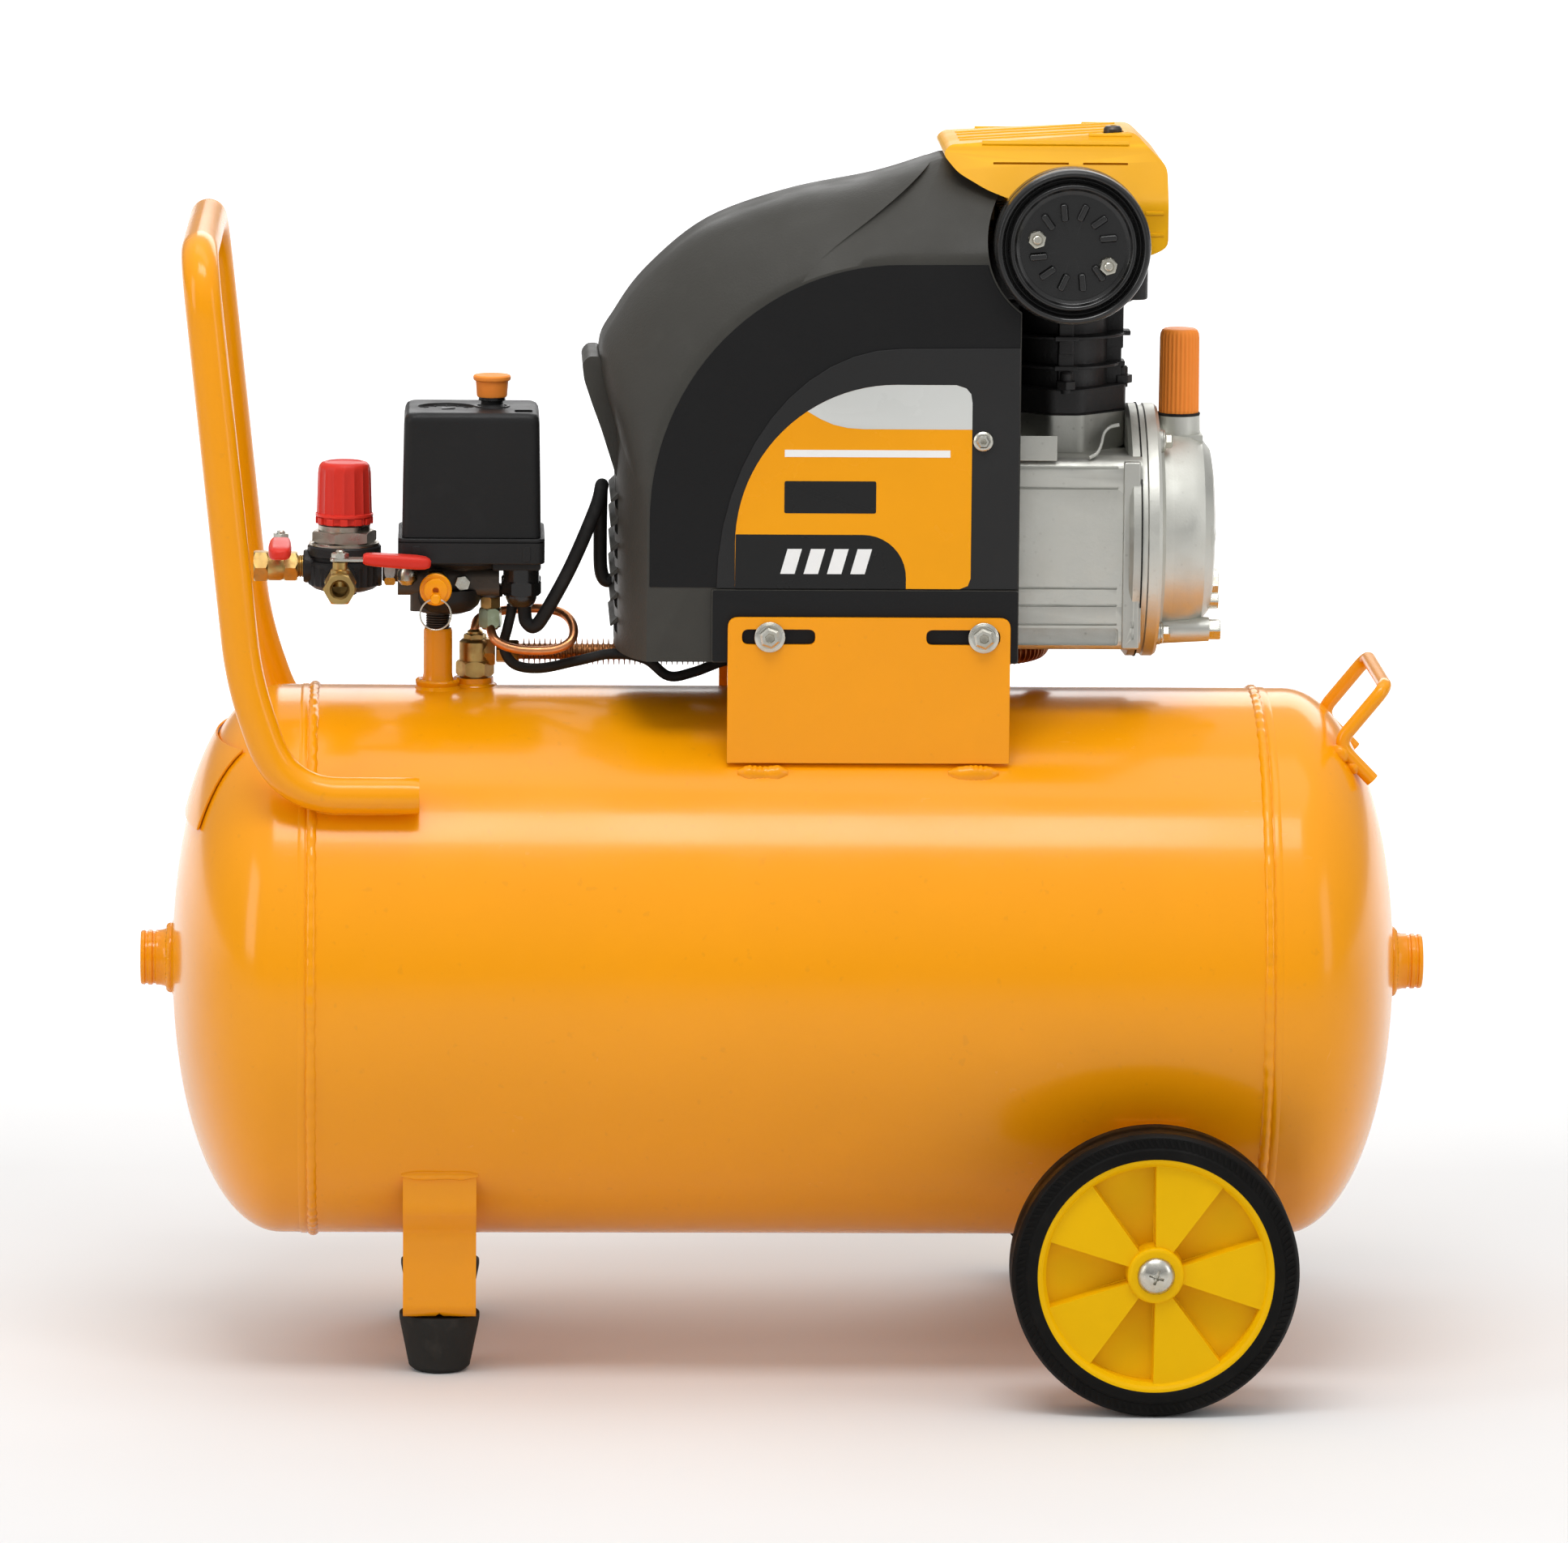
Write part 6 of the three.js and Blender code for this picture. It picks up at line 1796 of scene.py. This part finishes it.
def drain():
    x = middle("drain_valve")[0]
    high = span("drain_valve")[1][2]
    top = high - 9
    stem = rod("stem", "z", 5.6, top - 2, high, (x, 0, 0), 40)
    hexes = nut("hex", "z", 9, 49, top - 0.3, (x, 0, 0))
    fused(stem, hexes)
    cut(stem, turned("way", "z", [(0, 40), (3.4, 40), (3.4, 56), (1.6, 57), (1.6, 80), (0, 80)],
                     (x, 0, 0), 32))
    surface("drain_valve", stem, brass)
    screw = turned("screw", "z", [(0, 43), (5.4, 43), (6, 43.6), (6, 45.4), (5.4, 46), (3, 46), (3, 55),
                                  (0, 55)], (x, 0, 0), 40)
    bar_part = turned("bar", "y", [(0, -13), (1.5, -13), (2, -12.5), (2, 12.5), (1.5, 13), (0, 13)],
                      (x, 0, 44.5), 28)
    surface("drain_screw", gathered("drain_screw_parts", [screw, bar_part]), brass)


# ---- Inner parts ----


def inner_parts():
    """The carried-over CAD meshes inside the casings."""
    looks = {"stator": winding, "rotor_shaft": steel, "cooling_fan": black_plastic,
             "connecting_rod": cast_aluminium, "piston": cast_aluminium}
    for node, material in looks.items():
        obj = frame["nodes"][node]
        smoothed(obj)
        obj.data.materials.clear()
        obj.data.materials.append(material)


# ---- All the pieces ----

tank_shell()
tank_end(-1, "left")
tank_end(1, "right")
tank_fittings()
data_plate()
handles()
leg_and_ears()
foot("foot_front")
foot("foot_rear")
for side_name, side_sign in (("front", -1), ("rear", 1)):
    wheel_at = middle(f"wheel_rim_{side_name}")
    tyre(f"tyre_{side_name}", *wheel_at, side_sign)
    rim(f"wheel_rim_{side_name}", *wheel_at, side_sign)
    axle_bolt(f"axle_bolt_{side_name}", *wheel_at, side_sign)
motor_bracket()
bracket_bolts()
motor_shroud()
shroud_face()
label()
shroud_screws()
crankcase()
crankcase_cover()
sight_glass()
oil_plug()
cylinder()
cylinder_head()
head_cover()
air_filter()
riser()
check_valve()
delivery_pipe()
unloader_tube()
manifold()
switch_base()
switch_cover()
switch_knob()
regulator_body()
regulator_knob()
valve_with_lever("front", (FRONT_VALVE_X, -23.3, FRONT_VALVE_Z), -21.7, -39, False)
valve_with_lever("side", (-272.6, 0, SIDE_VALVE_Z), -12.3, -27.6, True)
safety_valve()
safety_ring()
gauge("tank_gauge", 20)
gauge("outlet_gauge", 17)
drain()
inner_parts()


# ---- Stage and light ----

HORIZON_LIGHT, ZENITH_LIGHT = 0.28, 0.92  # the sky's strength low down and overhead
LAMP_TARGET = Vector((0, 0, 0.35))  # metres


def studio_floor():
    """Pale paper just under the feet that fades to white far behind the compressor."""
    half, back, drop = 60000, 200000, -0.5
    floor = made("studio_floor", [(-half, -half, drop), (half, -half, drop), (half, back, drop),
                                  (-half, back, drop)], [(0, 1, 2, 3)])
    pale = Finish("studio_paper", (0.8, 0.8, 0.8), 0.9)
    pale.tint((0.78, 0.78, 0.78), pale.noise(3, 2))
    pale.shader.inputs["Emission Color"].default_value = (1, 1, 1, 1)
    pale.feed(pale.shader.inputs["Emission Strength"], pale.ranged(pale.coordinate(1), 0.5, 2.6, 0.0, 0.8))
    floor.data.materials.append(pale.done())


def sky():
    """White all round, brighter overhead than at the horizon."""
    world = bpy.data.worlds.new("studio")
    world.use_nodes = True
    tree = world.node_tree
    background = next(n for n in tree.nodes if n.type == "BACKGROUND")
    background.inputs["Color"].default_value = (1, 1, 1, 1)
    direction = tree.nodes.new("ShaderNodeTexCoord")
    split = tree.nodes.new("ShaderNodeSeparateXYZ")
    rise = tree.nodes.new("ShaderNodeMapRange")
    for socket, value in zip(("From Min", "From Max", "To Min", "To Max"),
                             (0.12, 0.85, HORIZON_LIGHT, ZENITH_LIGHT)):
        rise.inputs[socket].default_value = value
    tree.links.new(direction.outputs["Generated"], split.inputs[0])
    tree.links.new(split.outputs[2], rise.inputs["Value"])
    tree.links.new(rise.outputs[0], background.inputs["Strength"])
    bpy.context.scene.world = world


def softboxes():
    lamps = (  # name, place, size, power in watts
        ("key_softbox", (-0.08, -0.98, 2.26), (1.3, 0.55), 18),
        ("left_softbox", (-2.6, -1.4, 1.3), (0.9, 1.6), 13),
        ("top_softbox", (0.1, 0.2, 2.9), (2.6, 1.0), 10),
        ("right_fill", (2.6, -1.5, 1.1), (0.8, 1.6), 8),
        ("rear_fill", (0.6, 2.8, 1.6), (2.4, 1.2), 20),
    )
    for name, place, (width, height), power in lamps:
        data = bpy.data.lights.new(name, "AREA")
        data.shape = "RECTANGLE"
        data.size, data.size_y, data.energy = width, height, power
        lamp = bpy.data.objects.new(name, data)
        bpy.context.collection.objects.link(lamp)
        lamp.location = place
        lamp.rotation_euler = (LAMP_TARGET - Vector(place)).to_track_quat("-Z", "Y").to_euler()


studio_floor()
sky()
softboxes()
bpy.context.scene.view_settings.view_transform = "Standard"
